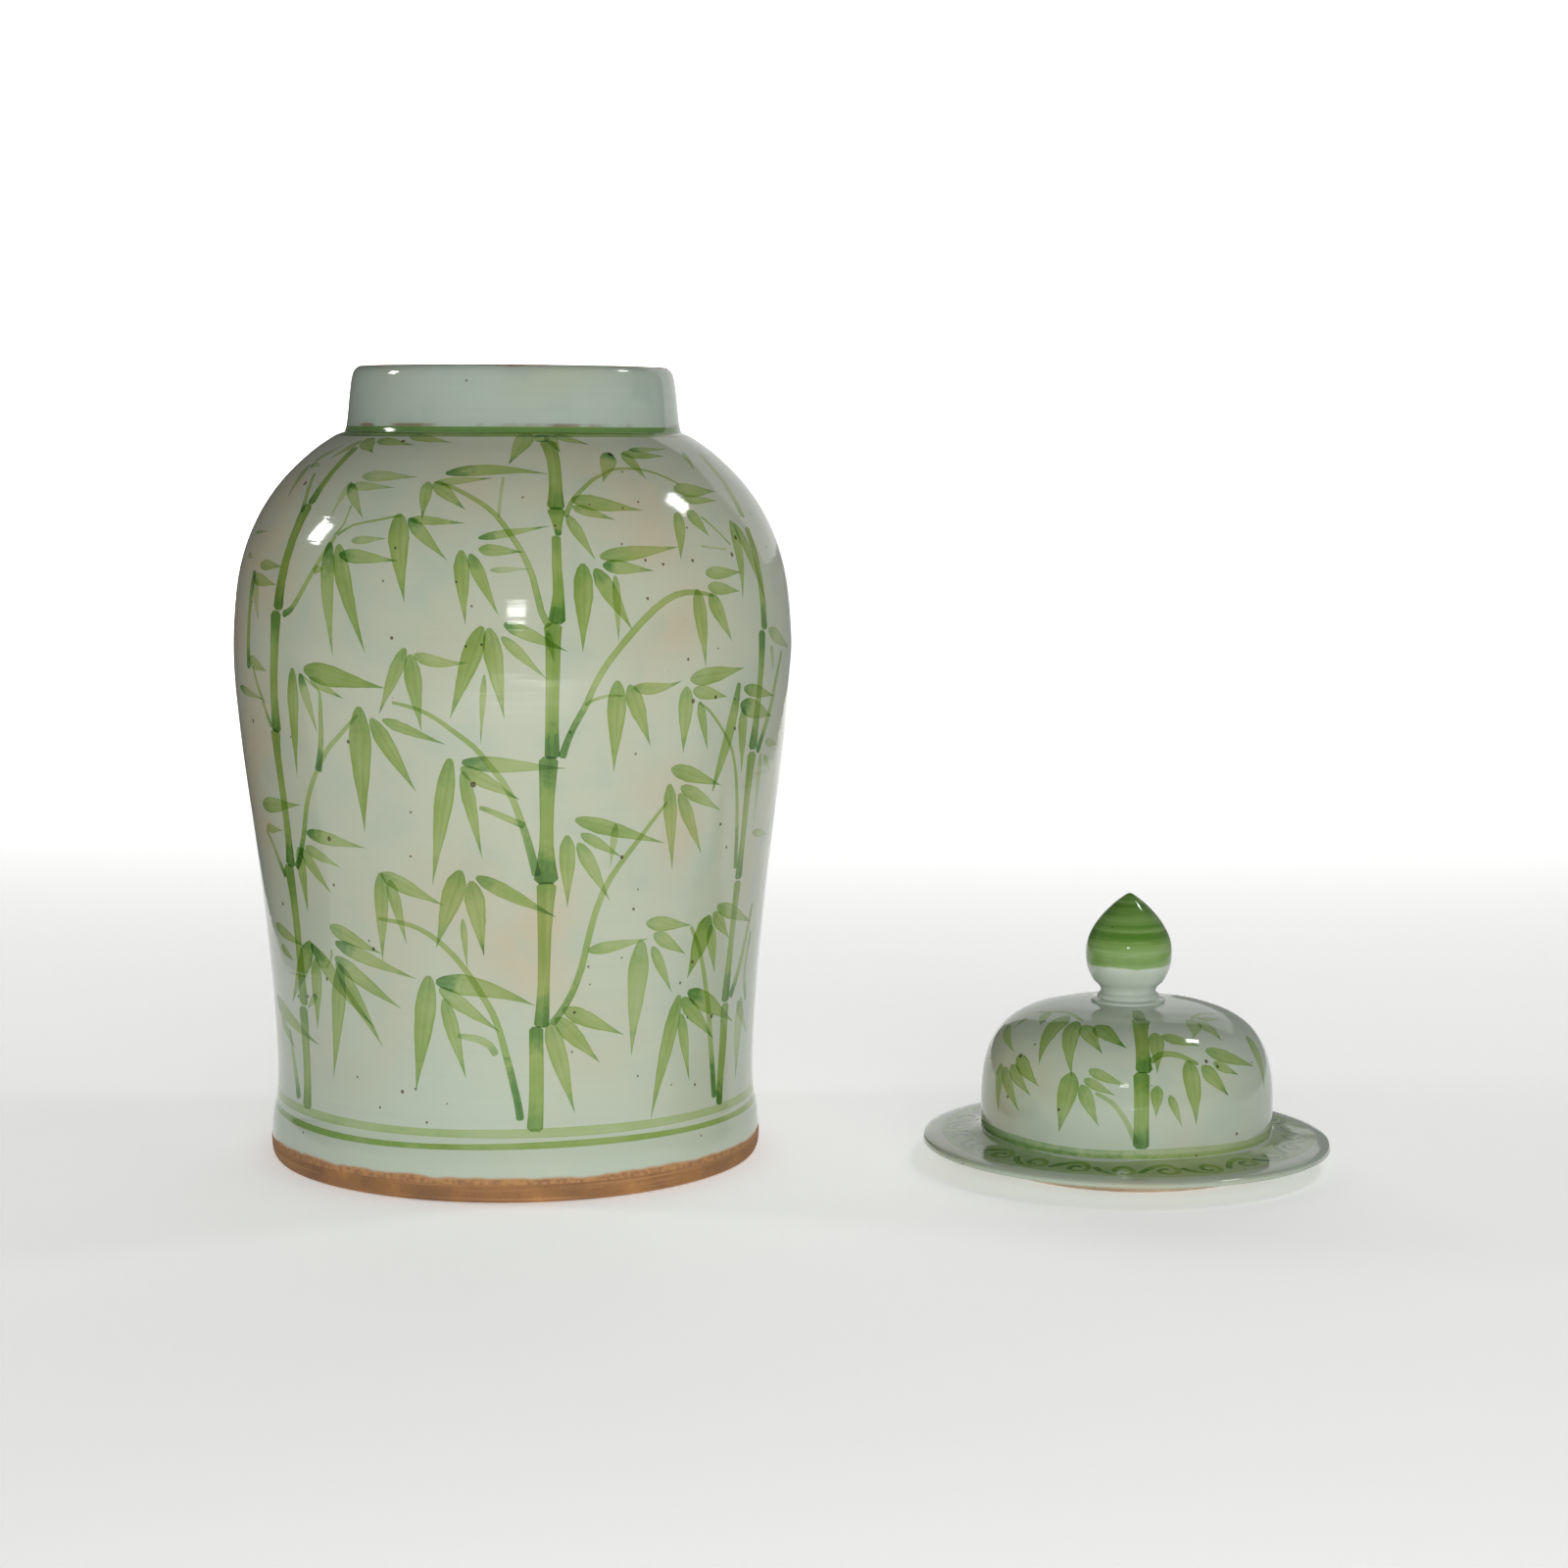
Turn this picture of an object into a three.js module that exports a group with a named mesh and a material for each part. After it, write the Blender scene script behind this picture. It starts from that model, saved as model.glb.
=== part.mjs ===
// A lidded porcelain temple jar with its hat-shaped lid standing beside it.
// Millimetres, +Z up. The origin is the centre of the jar's flat base, and the lid stands towards +X.
import * as THREE from "three";

// The jar: its outside is one curve from the foot to the seat of the neck, given as [radius, height].
const wall = 7; // thickness of the thrown wall
const baseThickness = 9;
const footTurn = 118.2; // radius of the foot where the slab meets the wall
const baseRadius = 114.6; // radius of the flat face that the jar stands on
const neckSeat = 346.5; // height where the neck was set on the shoulder
const jarHeight = 377;
const bodyOutline = [
  [footTurn, baseThickness],
  [117.3, 20],
  [115.4, 31],
  [115, 48],
  [116.6, 80],
  [120.4, 122],
  [125.1, 162],
  [129.9, 200],
  [133, 236], // the widest place, where the lower and upper halves were joined
  [132.3, 262],
  [129.2, 284],
  [122, 304],
  [111, 321.5],
  [97.2, 335.5],
  [85.5, 344],
  [80, neckSeat],
];
const halfJoint = 8; // index of the widest place in bodyOutline

// The neck: a short cylinder that narrows a little towards a rounded lip.
const mouthRadius = 71;
const lipBore = 69.8;
const lipFlat = [70.8, 73]; // inner and outer radius of the flat top of the lip
const neckOutline = [
  [80, neckSeat],
  [79.1, 349],
  [78.3, 355],
  [77.4, 364],
  [76.4, 371.6],
  [75.1, 375.2],
  [lipFlat[1], jarHeight],
];

// The lid, in its own frame: its axis is Z and it stands on its locating ring.
const lidPlace = new THREE.Vector3(295, -22, 0);
const ringDepth = 8; // how far the ring reaches below the brim, which lifts the brim off the table
const ringOuter = 67; // a loose fit inside the mouth of the jar
const ringInner = 61.5;
const lidWall = 5;
const domeRadius = 69.7;
const domeFoot = 16; // height where the dome stands on the brim
const domeStraight = 31; // up to here the dome's side is upright
const domeTop = 77.6;
const finialSeat = 17.5; // radius of the flat patch under the finial
const brimSeat = 80; // the brim's underside is flat out to this radius
const brimOutline = [
  [domeRadius, domeFoot],
  [73, 14.2],
  [80, 13.1],
  [92, 12.6],
  [96.2, 12],
  [97.8, 10.2],
  [96.6, 8.7],
  [brimSeat, ringDepth],
];

// The finial: a lotus bud over a narrow waist, a collar and a thin disc.
const finialOutline = [
  [finialSeat, 0],
  [finialSeat, 1.1],
  [15, 1.9],
  [14.6, 3.4],
  [13.1, 5.2],
  [14.2, 7.6],
  [17, 10.4],
  [19.6, 16],
  [20.5, 22.4],
  [20, 28.6],
  [17.6, 34.6],
  [13.6, 40.6],
  [8, 46.5],
  [2.4, 50.9],
  [0, 52],
];

const turns = 40; // facets around each turned piece

const vectors = (pairs) => pairs.map(([r, z]) => new THREE.Vector2(r, z));

// The points of an outline between two of its given points, smoothed.
function stretch(outline, first, last, steps) {
  const curve = new THREE.SplineCurve(vectors(outline));
  const end = outline.length - 1;
  return Array.from({ length: steps + 1 }, (_, i) =>
    curve.getPoint((first + ((last - first) * i) / steps) / end),
  );
}

// The same line moved inwards by the wall, square to the surface.
function inset(points, thickness) {
  return points.map((p, i) => {
    const before = points[Math.max(i - 1, 0)];
    const after = points[Math.min(i + 1, points.length - 1)];
    const along = after.clone().sub(before).normalize();
    return new THREE.Vector2(p.x - along.y * thickness, p.y + along.x * thickness);
  });
}

const glaze = { color: 0xa9b6a0, roughness: 0.12, metalness: 0 };
const finishes = {
  clay: { color: 0x9a6a3c, roughness: 0.85, metalness: 0 },
  plainGlaze: { ...glaze, color: 0x9fae9f },
  paintedGlaze: glaze,
  greenGlaze: { ...glaze, color: 0x5f8f3f },
};

// Turns a closed outline around Z. Its points run up the outside and down the inside.
function turned(name, points, finish) {
  const shape = new THREE.LatheGeometry(points, turns);
  shape.rotateX(Math.PI / 2);
  const mesh = new THREE.Mesh(shape, new THREE.MeshStandardMaterial(finishes[finish]));
  mesh.name = name;
  return mesh;
}

function jarBase() {
  const outline = vectors([
    [0, 0],
    [baseRadius, 0],
    [117, 1.4],
    [118, 5],
    [footTurn, baseThickness],
    [0, baseThickness],
  ]);
  return turned("jar_base", outline, "clay");
}

function jarLowerBody() {
  const outside = stretch(bodyOutline, 0, halfJoint, 11);
  const inside = inset(outside, wall);
  inside[0].y = baseThickness;
  inside[inside.length - 1].y = outside[outside.length - 1].y;
  return turned("jar_lower_body", [...outside, ...inside.reverse(), outside[0]], "paintedGlaze");
}

function jarUpperBody() {
  const outside = stretch(bodyOutline, halfJoint, bodyOutline.length - 1, 10);
  const inside = inset(outside, wall).filter((p) => p.x > mouthRadius + wall);
  inside[0].y = outside[0].y;
  const throat = vectors([
    [mouthRadius, neckSeat],
    [mouthRadius, neckSeat - wall],
  ]);
  return turned(
    "jar_upper_body",
    [...outside, ...throat, ...inside.reverse(), outside[0]],
    "paintedGlaze",
  );
}

function jarNeck() {
  const outside = stretch(neckOutline, 0, neckOutline.length - 1, 8);
  const bore = vectors([
    [lipFlat[0], jarHeight],
    [lipBore, jarHeight - 1.4],
    [mouthRadius, jarHeight - 6],
    [mouthRadius, neckSeat],
  ]);
  return turned("jar_neck", [...outside, ...bore, outside[0]], "plainGlaze");
}

// The ring stands inside the brim and reaches up to the foot of the dome.
function lidLocatingRing() {
  const outline = vectors([
    [ringInner, 0],
    [ringOuter, 0],
    [ringOuter, domeFoot],
    [ringInner, domeFoot],
    [ringInner, 0],
  ]);
  return turned("lid_locating_ring", outline, "clay");
}

function lidBrim() {
  const top = stretch(brimOutline, 0, brimOutline.length - 1, 10).reverse();
  const hub = vectors([
    [ringOuter, domeFoot],
    [ringOuter, ringDepth],
  ]);
  return turned("lid_brim", [...top, ...hub, top[0]], "paintedGlaze");
}

// One side of the dome: upright at the foot, then rounded over to a flat patch on top.
function domeLine(radius, top, patch) {
  const crown = new THREE.CubicBezierCurve(
    new THREE.Vector2(radius, domeStraight),
    new THREE.Vector2(radius, domeStraight + 0.8 * (top - domeStraight)),
    new THREE.Vector2(0.74 * radius, top - 1),
    new THREE.Vector2(patch, top),
  );
  return [new THREE.Vector2(radius, domeFoot), ...crown.getPoints(9)];
}

function lidDome() {
  const outside = domeLine(domeRadius, domeTop, finialSeat);
  const inside = domeLine(domeRadius - lidWall, domeTop - lidWall, finialSeat);
  const axis = vectors([
    [0, domeTop],
    [0, domeTop - lidWall],
  ]);
  return turned("lid_dome", [...outside, ...axis, ...inside.reverse(), outside[0]], "paintedGlaze");
}

function lidFinial() {
  const side = stretch(finialOutline, 2, finialOutline.length - 1, 15);
  const disc = vectors([[0, 0], ...finialOutline.slice(0, 2)]);
  const bud = turned("lid_finial", [...disc, ...side], "greenGlaze");
  bud.position.z = domeTop;
  return bud;
}

const jar = new THREE.Group();
jar.add(jarBase(), jarLowerBody(), jarUpperBody(), jarNeck());

const lid = new THREE.Group();
lid.position.copy(lidPlace);
lid.add(lidLocatingRing(), lidBrim(), lidDome(), lidFinial());

const templeJar = new THREE.Group();
templeJar.add(jar, lid);

export default templeJar;
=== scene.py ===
import math
import random
from bisect import bisect_right

import bmesh
import bpy
from mathutils import Euler, Matrix, Vector
from mathutils.geometry import delaunay_2d_cdt


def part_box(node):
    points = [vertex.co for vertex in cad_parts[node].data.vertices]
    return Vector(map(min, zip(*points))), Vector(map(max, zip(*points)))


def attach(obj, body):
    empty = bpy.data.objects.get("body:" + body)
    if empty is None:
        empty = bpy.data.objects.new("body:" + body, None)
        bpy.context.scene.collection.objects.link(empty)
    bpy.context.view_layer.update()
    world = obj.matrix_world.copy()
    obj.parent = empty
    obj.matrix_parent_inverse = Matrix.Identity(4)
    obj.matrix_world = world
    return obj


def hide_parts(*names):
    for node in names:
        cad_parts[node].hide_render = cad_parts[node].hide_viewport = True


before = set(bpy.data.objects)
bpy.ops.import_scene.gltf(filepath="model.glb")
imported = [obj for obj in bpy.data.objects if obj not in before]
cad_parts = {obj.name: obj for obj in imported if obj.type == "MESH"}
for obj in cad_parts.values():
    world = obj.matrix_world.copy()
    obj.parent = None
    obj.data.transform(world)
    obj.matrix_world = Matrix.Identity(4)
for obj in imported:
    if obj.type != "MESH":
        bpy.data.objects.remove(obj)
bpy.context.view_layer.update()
bpy.context.scene.view_settings.view_transform = "Standard"
print("frame loaded:", len(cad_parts), "nodes")

mm = 0.001
dice = random.Random(11)
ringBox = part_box("lid_locating_ring")
lidAxis = (ringBox[0] + ringBox[1]) / 2  # the lid's axis, beside the jar
lidAxis.z = 0


# ---------- helpers ----------
def linear(hexColour):
    value = int(hexColour.lstrip("#"), 16)
    parts = [((value >> shift) & 255) / 255 for shift in (16, 8, 0)]
    return [p / 12.92 if p <= 0.04045 else ((p + 0.055) / 1.055) ** 2.4 for p in parts] + [1.0]


def addNode(tree, kind, settings=None, inputs=None):
    node = tree.nodes.new(kind)
    for key, value in (settings or {}).items():
        setattr(node, key, value)
    for key, value in (inputs or {}).items():
        socket = node.inputs[key]
        if isinstance(value, bpy.types.NodeSocket):
            tree.links.new(value, socket)
        else:
            socket.default_value = value
    return node


def between(a, b, share):
    return a + (b - a) * share


def smoothLine(points, steps):
    line = []
    for i in range(len(points) - 1):
        p0, p1 = points[max(i - 1, 0)], points[i]
        p2, p3 = points[i + 1], points[min(i + 2, len(points) - 1)]
        for k in range(steps):
            t = k / steps
            line.append(tuple(
                0.5 * (2 * b + (c - a) * t + (2 * a - 5 * b + 4 * c - d) * t * t
                       + (3 * b - a - 3 * c + d) * t ** 3)
                for a, b, c, d in zip(p0, p1, p2, p3)))
    return line + [tuple(points[-1])]


class TurnedSide:
    # one side of a turned form: radius and height at a distance measured up its surface
    def __init__(self, line, start, axis=(0, 0)):
        self.line = line
        self.axis = axis
        self.reach = [start]
        for a, b in zip(line, line[1:]):
            self.reach.append(self.reach[-1] + math.dist(a, b))

    def at(self, v):
        i = min(max(bisect_right(self.reach, v) - 1, 0), len(self.line) - 2)
        span = self.reach[i + 1] - self.reach[i]
        t = min(max((v - self.reach[i]) / span, 0), 1)
        (r0, z0), (r1, z1) = self.line[i], self.line[i + 1]
        return between(r0, r1, t), between(z0, z1, t)

    def point(self, phi, v):
        r, z = self.at(v)
        a = math.radians(phi)
        return Vector((self.axis[0] + r * mm * math.sin(a), self.axis[1] - r * mm * math.cos(a), z * mm))

    def normal(self, phi, v):
        (r0, z0), (r1, z1) = self.at(v - 1.5), self.at(v + 1.5)
        a = math.radians(phi)
        out = Vector((z1 - z0, r0 - r1)).normalized()
        return Vector((out.x * math.sin(a), -out.x * math.cos(a), out.y))


# ---------- brush strokes ----------
brush = {
    "sheetScale": 2.2,      # sheet millimetres for one degree round the pot
    "seam": -90,            # the painting is laid out from here, right round; no stroke but a ring crosses it
    "leafShape": [(0, .32), (.05, .6), (.13, .86), (.24, 1), (.38, .95), (.54, .75), (.68, .5), (.81, .28), (.92, .11),
                  (1, .02)],
    "wobble": 0.05,         # how far the hand strays, as a share of the width
}


class Stroke:
    # a brush stroke on the sheet: a spine with half widths, its ink (dark pigment) and tone (pale wash)
    def __init__(self, side, spine, ink, tone, shift=0):
        scale = brush["sheetScale"]
        self.ink = ink
        self.tone = tone
        self.spine = []
        length = 0
        for i, (phi, v, width) in enumerate(spine):
            squeeze = scale * 57.2958 / max(side.at(v)[0], 8)
            if i:
                back = self.spine[-1]
                mid = (squeeze + back[4]) / 2
                length += math.hypot(((phi + shift) * scale - back[0]) / mid, v - back[1])
            self.spine.append([(phi + shift) * scale, v, width / 2, length, squeeze])
        self.length = max(length, 0.01)

    def outline(self):
        left, right = [], []
        last = len(self.spine) - 1
        for i, (x, y, half, length, squeeze) in enumerate(self.spine):
            a, b = self.spine[max(i - 1, 0)], self.spine[min(i + 1, last)]
            dx, dy = (b[0] - a[0]) / squeeze, b[1] - a[1]
            size = math.hypot(dx, dy) or 1
            nx, ny = -dy / size, dx / size
            left.append((x + nx * half * squeeze, y + ny * half))
            right.append((x - nx * half * squeeze, y - ny * half))
            if i == 0:  # the brush is set down with a round heel
                tx, ty = dx / size * half * 0.55, dy / size * half * 0.55
                heel = [(x + (nx * k * half - tx * c) * squeeze, y + ny * k * half - ty * c)
                        for k, c in ((-.55, .85), (.55, .85))]
            if i == last and half > 0.5:
                tx, ty = dx / size * half * 0.5, dy / size * half * 0.5
                toe = [(x + (nx * k * half + tx * c) * squeeze, y + ny * k * half + ty * c)
                       for k, c in ((.55, .85), (-.55, .85))]
                left += toe
        return right + left[::-1] + heel[::-1]

    def local(self, x, y):
        best = None
        for a, b in zip(self.spine, self.spine[1:]):
            squeeze = (a[4] + b[4]) / 2
            ux, uy = (b[0] - a[0]) / squeeze, b[1] - a[1]
            px, py = (x - a[0]) / squeeze, y - a[1]
            size = ux * ux + uy * uy or 1e-9
            t = min(max((px * ux + py * uy) / size, 0), 1)
            ox, oy = px - ux * t, py - uy * t
            away = ox * ox + oy * oy
            if best is None or away < best[0]:
                half = max(between(a[2], b[2], t), 0.05)
                turn = 1 if ux * oy - uy * ox > 0 else -1
                best = (away, between(a[3], b[3], t) / self.length, turn * math.sqrt(away) / half)
        return best[1], max(-1.0, min(1.0, best[2]))


def leafSpine(phi0, v0, phi1, v1, width, bow, radius):
    perDegree = radius / 57.2958
    dx, dy = (phi1 - phi0) * perDegree, v1 - v0
    size = math.hypot(dx, dy)
    spine = []
    for share, part in smoothLine(brush["leafShape"], 2):
        side = 4 * share * (1 - share) * bow
        stray = 1 + dice.uniform(-1, 1) * brush["wobble"]
        spine.append((phi0 + (phi1 - phi0) * share - dy / size * side / perDegree,
                      v0 + dy * share + dx / size * side, width * part * stray))
    return spine


def makeStrokes(side, leaves, lines, spots, copies):
    # copies: how far round the pot each repeat of the painting is turned, and how freely it is redrawn
    strokes = []
    for turn, free in copies:
        first = len(strokes)
        def stray(amount):
            return dice.uniform(-1, 1) * amount * free
        for phi0, v0, phi1, v1, width, bow, ink, tone in leaves:
            dPhi, dV = stray(1.6), stray(2.5)
            spine = leafSpine(phi0 + dPhi, v0 + dV, phi1 + dPhi + stray(1.5), v1 + dV + stray(3),
                              width * (1 + stray(.15)), bow + stray(.6), side.at((v0 + v1) / 2)[0])
            strokes.append((turn, spine, ink, tone))
        for ink, tone, points in lines:
            strokes.append((turn, smoothLine(points, 2), ink, tone))
        for phi, v, radius in spots:
            dPhi, dV = stray(12), stray(14)
            size = 57.2958 / side.at(v)[0]
            strokes.append((turn, [(phi + dPhi - radius * size * .4, v + dV, radius * 1.7),
                                   (phi + dPhi + radius * size * .4, v + dV + .1, radius * 1.7)], (0, 0), 9))
        if turn == brush["seam"]:  # a copy on the seam is laid at both ends of the sheet
            strokes += [(turn + 360, spine, ink, tone) for _, spine, ink, tone in strokes[first:]]
    return [Stroke(side, spine, ink, tone, turn) for turn, spine, ink, tone in strokes]


def ringStroke(side, low, high, ink, tone, waver=0.0, waves=3):
    # a line painted while the pot turned on the wheel
    spine = []
    for k in range(-1, 92):
        phi = brush["seam"] + k * 4
        sway = waver * (math.sin(math.radians(phi * waves)) + .6 * math.sin(math.radians(phi * (waves + 2) + 40)))
        thin = 1 + .1 * math.sin(math.radians(phi * 5))
        spine.append((phi, (low + high) / 2 + sway, (high - low) * thin))
    return Stroke(side, spine, ink, tone)


def paintSheet(side, low, high, strokes, columns=120, step=6, seams=()):
    # cuts the strokes' outlines into a flat sheet, so that each face knows which strokes lie on it
    scale = brush["sheetScale"]
    points, edges, faces = [], [], []
    levels = [low]
    for stop in list(seams) + [high]:
        count = max(1, round((stop - levels[-1]) / step))
        first = levels[-1]
        levels += [between(first, stop, (k + 1) / count) for k in range(count)]
    for level in levels:
        row = len(points)
        for c in range(columns + 1):
            points.append(Vector(((brush["seam"] + 360 * c / columns) * scale, level)))
        if level in (low, high) or any(abs(level - s) < 1e-6 for s in seams):
            edges += [(row + c, row + c + 1) for c in range(columns)]
    width = columns + 1
    for r in range(len(levels) - 1):
        edges += [(r * width, (r + 1) * width), (r * width + columns, (r + 1) * width + columns)]
    for stroke in strokes:
        line = stroke.outline()
        area = sum(a[0] * b[1] - b[0] * a[1] for a, b in zip(line, line[1:] + line[:1]))
        if area < 0:
            line.reverse()
        first = len(points)
        points += [Vector(p) for p in line]
        faces.append(list(range(first, first + len(line))))
        if len(stroke.spine) > 2 and stroke.tone < 9:
            points += [Vector((p[0], p[1])) for p in stroke.spine[1:-1:2]]
    flat, _, cells, _, _, owners = delaunay_2d_cdt(points, edges, faces, 0, 1e-5, True)
    edge = brush["seam"] * scale
    kept = []
    for cell, owner in zip(cells, owners):
        mid = sum((flat[i] for i in cell), Vector((0, 0))) / len(cell)
        if edge < mid.x < edge + 360 * scale and low < mid.y < high:
            kept.append((cell, sorted(owner)[-3:], mid.y))
    return flat, kept


def paintedShell(name, side, sheet, strokes, low, high, columns, topLine, footLine, finish):
    # wraps the part of the sheet between two levels round the axis and closes it behind with the inner wall
    flat, cells = sheet
    scale = brush["sheetScale"]
    shell = bmesh.new()
    layers = [shell.loops.layers.float_color.new(n) for n in ("washA", "washB", "washC")]
    made, corners = {}, {}
    seamX = brush["seam"] * scale
    known = {}

    def vertex(i):
        x, y = flat[i]
        key = (round(seamX if abs(x - seamX - 360 * scale) < 1e-3 else x, 2), round(y, 2))
        if key not in made:
            made[key] = shell.verts.new(side.point(x / scale, y))
            corners[made[key]] = (x / scale, y)
        return made[key]

    for cell, owner, mid in cells:
        if not low < mid < high:
            continue
        verts = [vertex(i) for i in cell]
        if len(set(verts)) < 3:
            continue
        face = shell.faces.new(verts)
        for loop, i in zip(face.loops, cell):
            for layer in layers[len(owner):]:
                loop[layer] = (0, 0, 0, 0)
            for layer, which in zip(layers, owner):
                if (which, i) not in known:
                    known[which, i] = strokes[which].local(*flat[i])
                s, t = known[which, i]
                heel, tip = strokes[which].ink
                loop[layer] = (s, t * .5 + .5, round(tip * 10) + .02 + .9 * heel,
                               .1 + .4 * min(strokes[which].tone, 2.25))
    outer = set(shell.verts)
    axis = Vector((side.axis[0], side.axis[1], 0))

    def ringAt(radius, height):
        if radius < 0.01:
            return [shell.verts.new(axis + Vector((0, 0, height * mm)))]
        out = []
        for c in range(columns):
            a = math.radians(brush["seam"] + 360 * c / columns)
            out.append(shell.verts.new(axis + Vector((radius * mm * math.sin(a), -radius * mm * math.cos(a), height * mm))))
        return out

    def turnOf(v):
        return (math.atan2(v.co.x - axis.x, -(v.co.y - axis.y)) + .013) % (2 * math.pi)

    def zipRings(lower, upper):
        a = sorted(lower, key=turnOf)
        if len(upper) == 1:
            for one, two in zip(a, a[1:] + a[:1]):
                shell.faces.new((one, two, upper[0]))
            return
        b = sorted(upper, key=turnOf)
        turnsA = [turnOf(v) for v in a] + [turnOf(a[0]) + 2 * math.pi]
        turnsB = [turnOf(v) for v in b] + [turnOf(b[0]) + 2 * math.pi]
        i = j = 0
        while i < len(a) or j < len(b):
            if j == len(b) or (i < len(a) and turnsA[i + 1] <= turnsB[j + 1]):
                shell.faces.new((a[i], a[(i + 1) % len(a)], b[j % len(b)]))
                i += 1
            else:
                shell.faces.new((a[i % len(a)], b[(j + 1) % len(b)], b[j]))
                j += 1

    chains = []
    for level, line in ((high, topLine), (low, footLine)):
        chain = [v for v, (phi, y) in corners.items() if abs(y - level) < 1e-4]
        for radius, height in line:
            following = ringAt(radius, height)
            zipRings(chain, following)
            chain = following
        chains.append(chain)
    if len(chains[0]) > 1:
        zipRings(*chains)
    bmesh.ops.recalc_face_normals(shell, faces=shell.faces)
    print(name, "open edges:", sum(1 for e in shell.edges if not e.is_manifold))
    mesh = bpy.data.meshes.new(name)
    shell.normal_update()
    loopNormals = []
    for face in shell.faces:
        face.smooth = True
        onSide = all(v in outer for v in face.verts)
        for loop in face.loops:
            if onSide:
                phi, y = corners[loop.vert]
                loopNormals.append(side.normal(phi, y))
            else:
                loopNormals.append(wallNormal(face, loop.vert, axis))
                for layer in layers:
                    loop[layer] = (0, 0, 0, 0)
    shell.to_mesh(mesh)
    shell.free()
    mesh.normals_split_custom_set(loopNormals)
    piece = bpy.data.objects.new(name, mesh)
    bpy.context.scene.collection.objects.link(piece)
    finishPiece(piece, finish)
    return piece


def wallNormal(face, vert, axis):
    # round walls shade round: the face's own slope, turned to the vertex's direction from the axis
    n = face.normal
    spread = math.hypot(n.x, n.y)
    middle = face.calc_center_median() - axis
    facing = 1 if n.x * middle.x + n.y * middle.y > 0 else -1
    out = Vector((vert.co.x - axis.x, vert.co.y - axis.y))
    if out.length < 1e-5 or spread < 1e-3:
        return n.copy()
    out.normalize()
    return Vector((out.x * spread * facing, out.y * spread * facing, n.z))


def finishPiece(piece, finish):
    piece.data.materials.clear()
    piece.data.materials.append(finish["material"])
    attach(piece, finish["body"])
    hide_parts(*finish["stands for"])
    print(piece.name, len(piece.data.polygons), "faces")


def turnPiece(name, outline, finish, axis=(0, 0), steps=128, sharp=50):
    # spins a closed outline of [radius, height] round the axis, as on a wheel
    bpy.ops.object.select_all(action="DESELECT")
    first = outline[0]
    bpy.ops.mesh.primitive_plane_add(size=.001, location=(axis[0] + first[0] * mm, axis[1], first[1] * mm))
    piece = bpy.context.object
    piece.name = piece.data.name = name
    bpy.ops.object.transform_apply(location=True)
    bpy.ops.object.mode_set(mode="EDIT")
    bpy.ops.mesh.select_all(action="SELECT")
    bpy.ops.mesh.merge(type="CENTER")
    for a, b in zip(outline, outline[1:]):
        move = ((b[0] - a[0]) * mm, 0, (b[1] - a[1]) * mm)
        bpy.ops.mesh.extrude_region_move(TRANSFORM_OT_translate={"value": move})
    bpy.ops.mesh.select_all(action="SELECT")
    bpy.ops.mesh.spin(steps=steps, angle=2 * math.pi, center=(axis[0], axis[1], 0), axis=(0, 0, 1))
    bpy.ops.mesh.select_all(action="SELECT")
    bpy.ops.mesh.remove_doubles(threshold=.00002)
    bpy.ops.mesh.normals_make_consistent(inside=False)
    bpy.ops.object.mode_set(mode="OBJECT")
    bpy.ops.object.shade_smooth_by_angle(angle=math.radians(sharp))
    finishPiece(piece, finish)
    return piece


# ---------- the shapes, in millimetres ----------
jarShape = {
    "wall": 7,
    "base": 9,          # height of the bare clay foot slab
    "neckSeat": 346.5,
    "height": 377,
    "mouth": 71,        # inner radius of the neck
    "outline": [(118.2, 9), (117.3, 20), (115.4, 31), (115, 48), (116.6, 80), (120.4, 122), (125.1, 162),
                (129.9, 200), (133, 236), (132.3, 262), (129.2, 284), (122, 304), (111, 321.5), (97.2, 335.5),
                (85.5, 344), (80, 346.5)],
    "neck": [(80, 346.5), (79.1, 349), (78.3, 355), (77.4, 364), (76.4, 371.6), (75.1, 375.2), (73, 377)],
}
lidShape = {
    "wall": 5,
    "foot": 16,         # height where the dome stands on the brim
    "upright": 31,      # the dome's side is upright up to here
    "top": 77.6,
    "radius": 69.7,
    "seat": 17.5,       # the flat patch under the finial
    "brim": [(67, 8), (80, 8), (90, 8.3), (96.6, 8.7), (97.6, 9.5), (97.8, 10.2), (97.4, 11.2), (96.2, 12),
             (92, 12.6), (86, 12.85), (80, 13.1), (76, 13.5), (73, 14.2), (71, 15.1), (69.7, 16)],
    "finial": [(0, 0), (17.5, 0), (17.5, 1.1), (15, 1.9), (14.6, 3.4), (13.1, 5.2), (14.2, 7.6), (17, 10.4),
               (19.6, 16), (20.5, 22.4), (20, 28.6), (17.6, 34.6), (13.6, 40.6), (8, 46.5), (2.4, 50.9), (0, 52)],
}
bodySide = TurnedSide(smoothLine(jarShape["outline"], 8), 9)


def domeLine(radius, top, patch, steps=28):
    a, b = (radius, lidShape["upright"]), (radius, lidShape["upright"] + .8 * (top - lidShape["upright"]))
    c, d = (.74 * radius, top - 1), (patch, top)
    line = [(radius, lidShape["foot"])]
    for k in range(steps + 1):
        t = k / steps
        line.append(tuple((1 - t) ** 3 * p + 3 * t * (1 - t) ** 2 * q + 3 * t * t * (1 - t) * r + t ** 3 * w
                          for p, q, r, w in zip(a, b, c, d)))
    return line


lidPlace = (lidAxis.x, lidAxis.y)
domeSide = TurnedSide(domeLine(lidShape["radius"], lidShape["top"], lidShape["seat"]), 16, lidPlace)
brimSide = TurnedSide(lidShape["brim"], 0, lidPlace)

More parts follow.
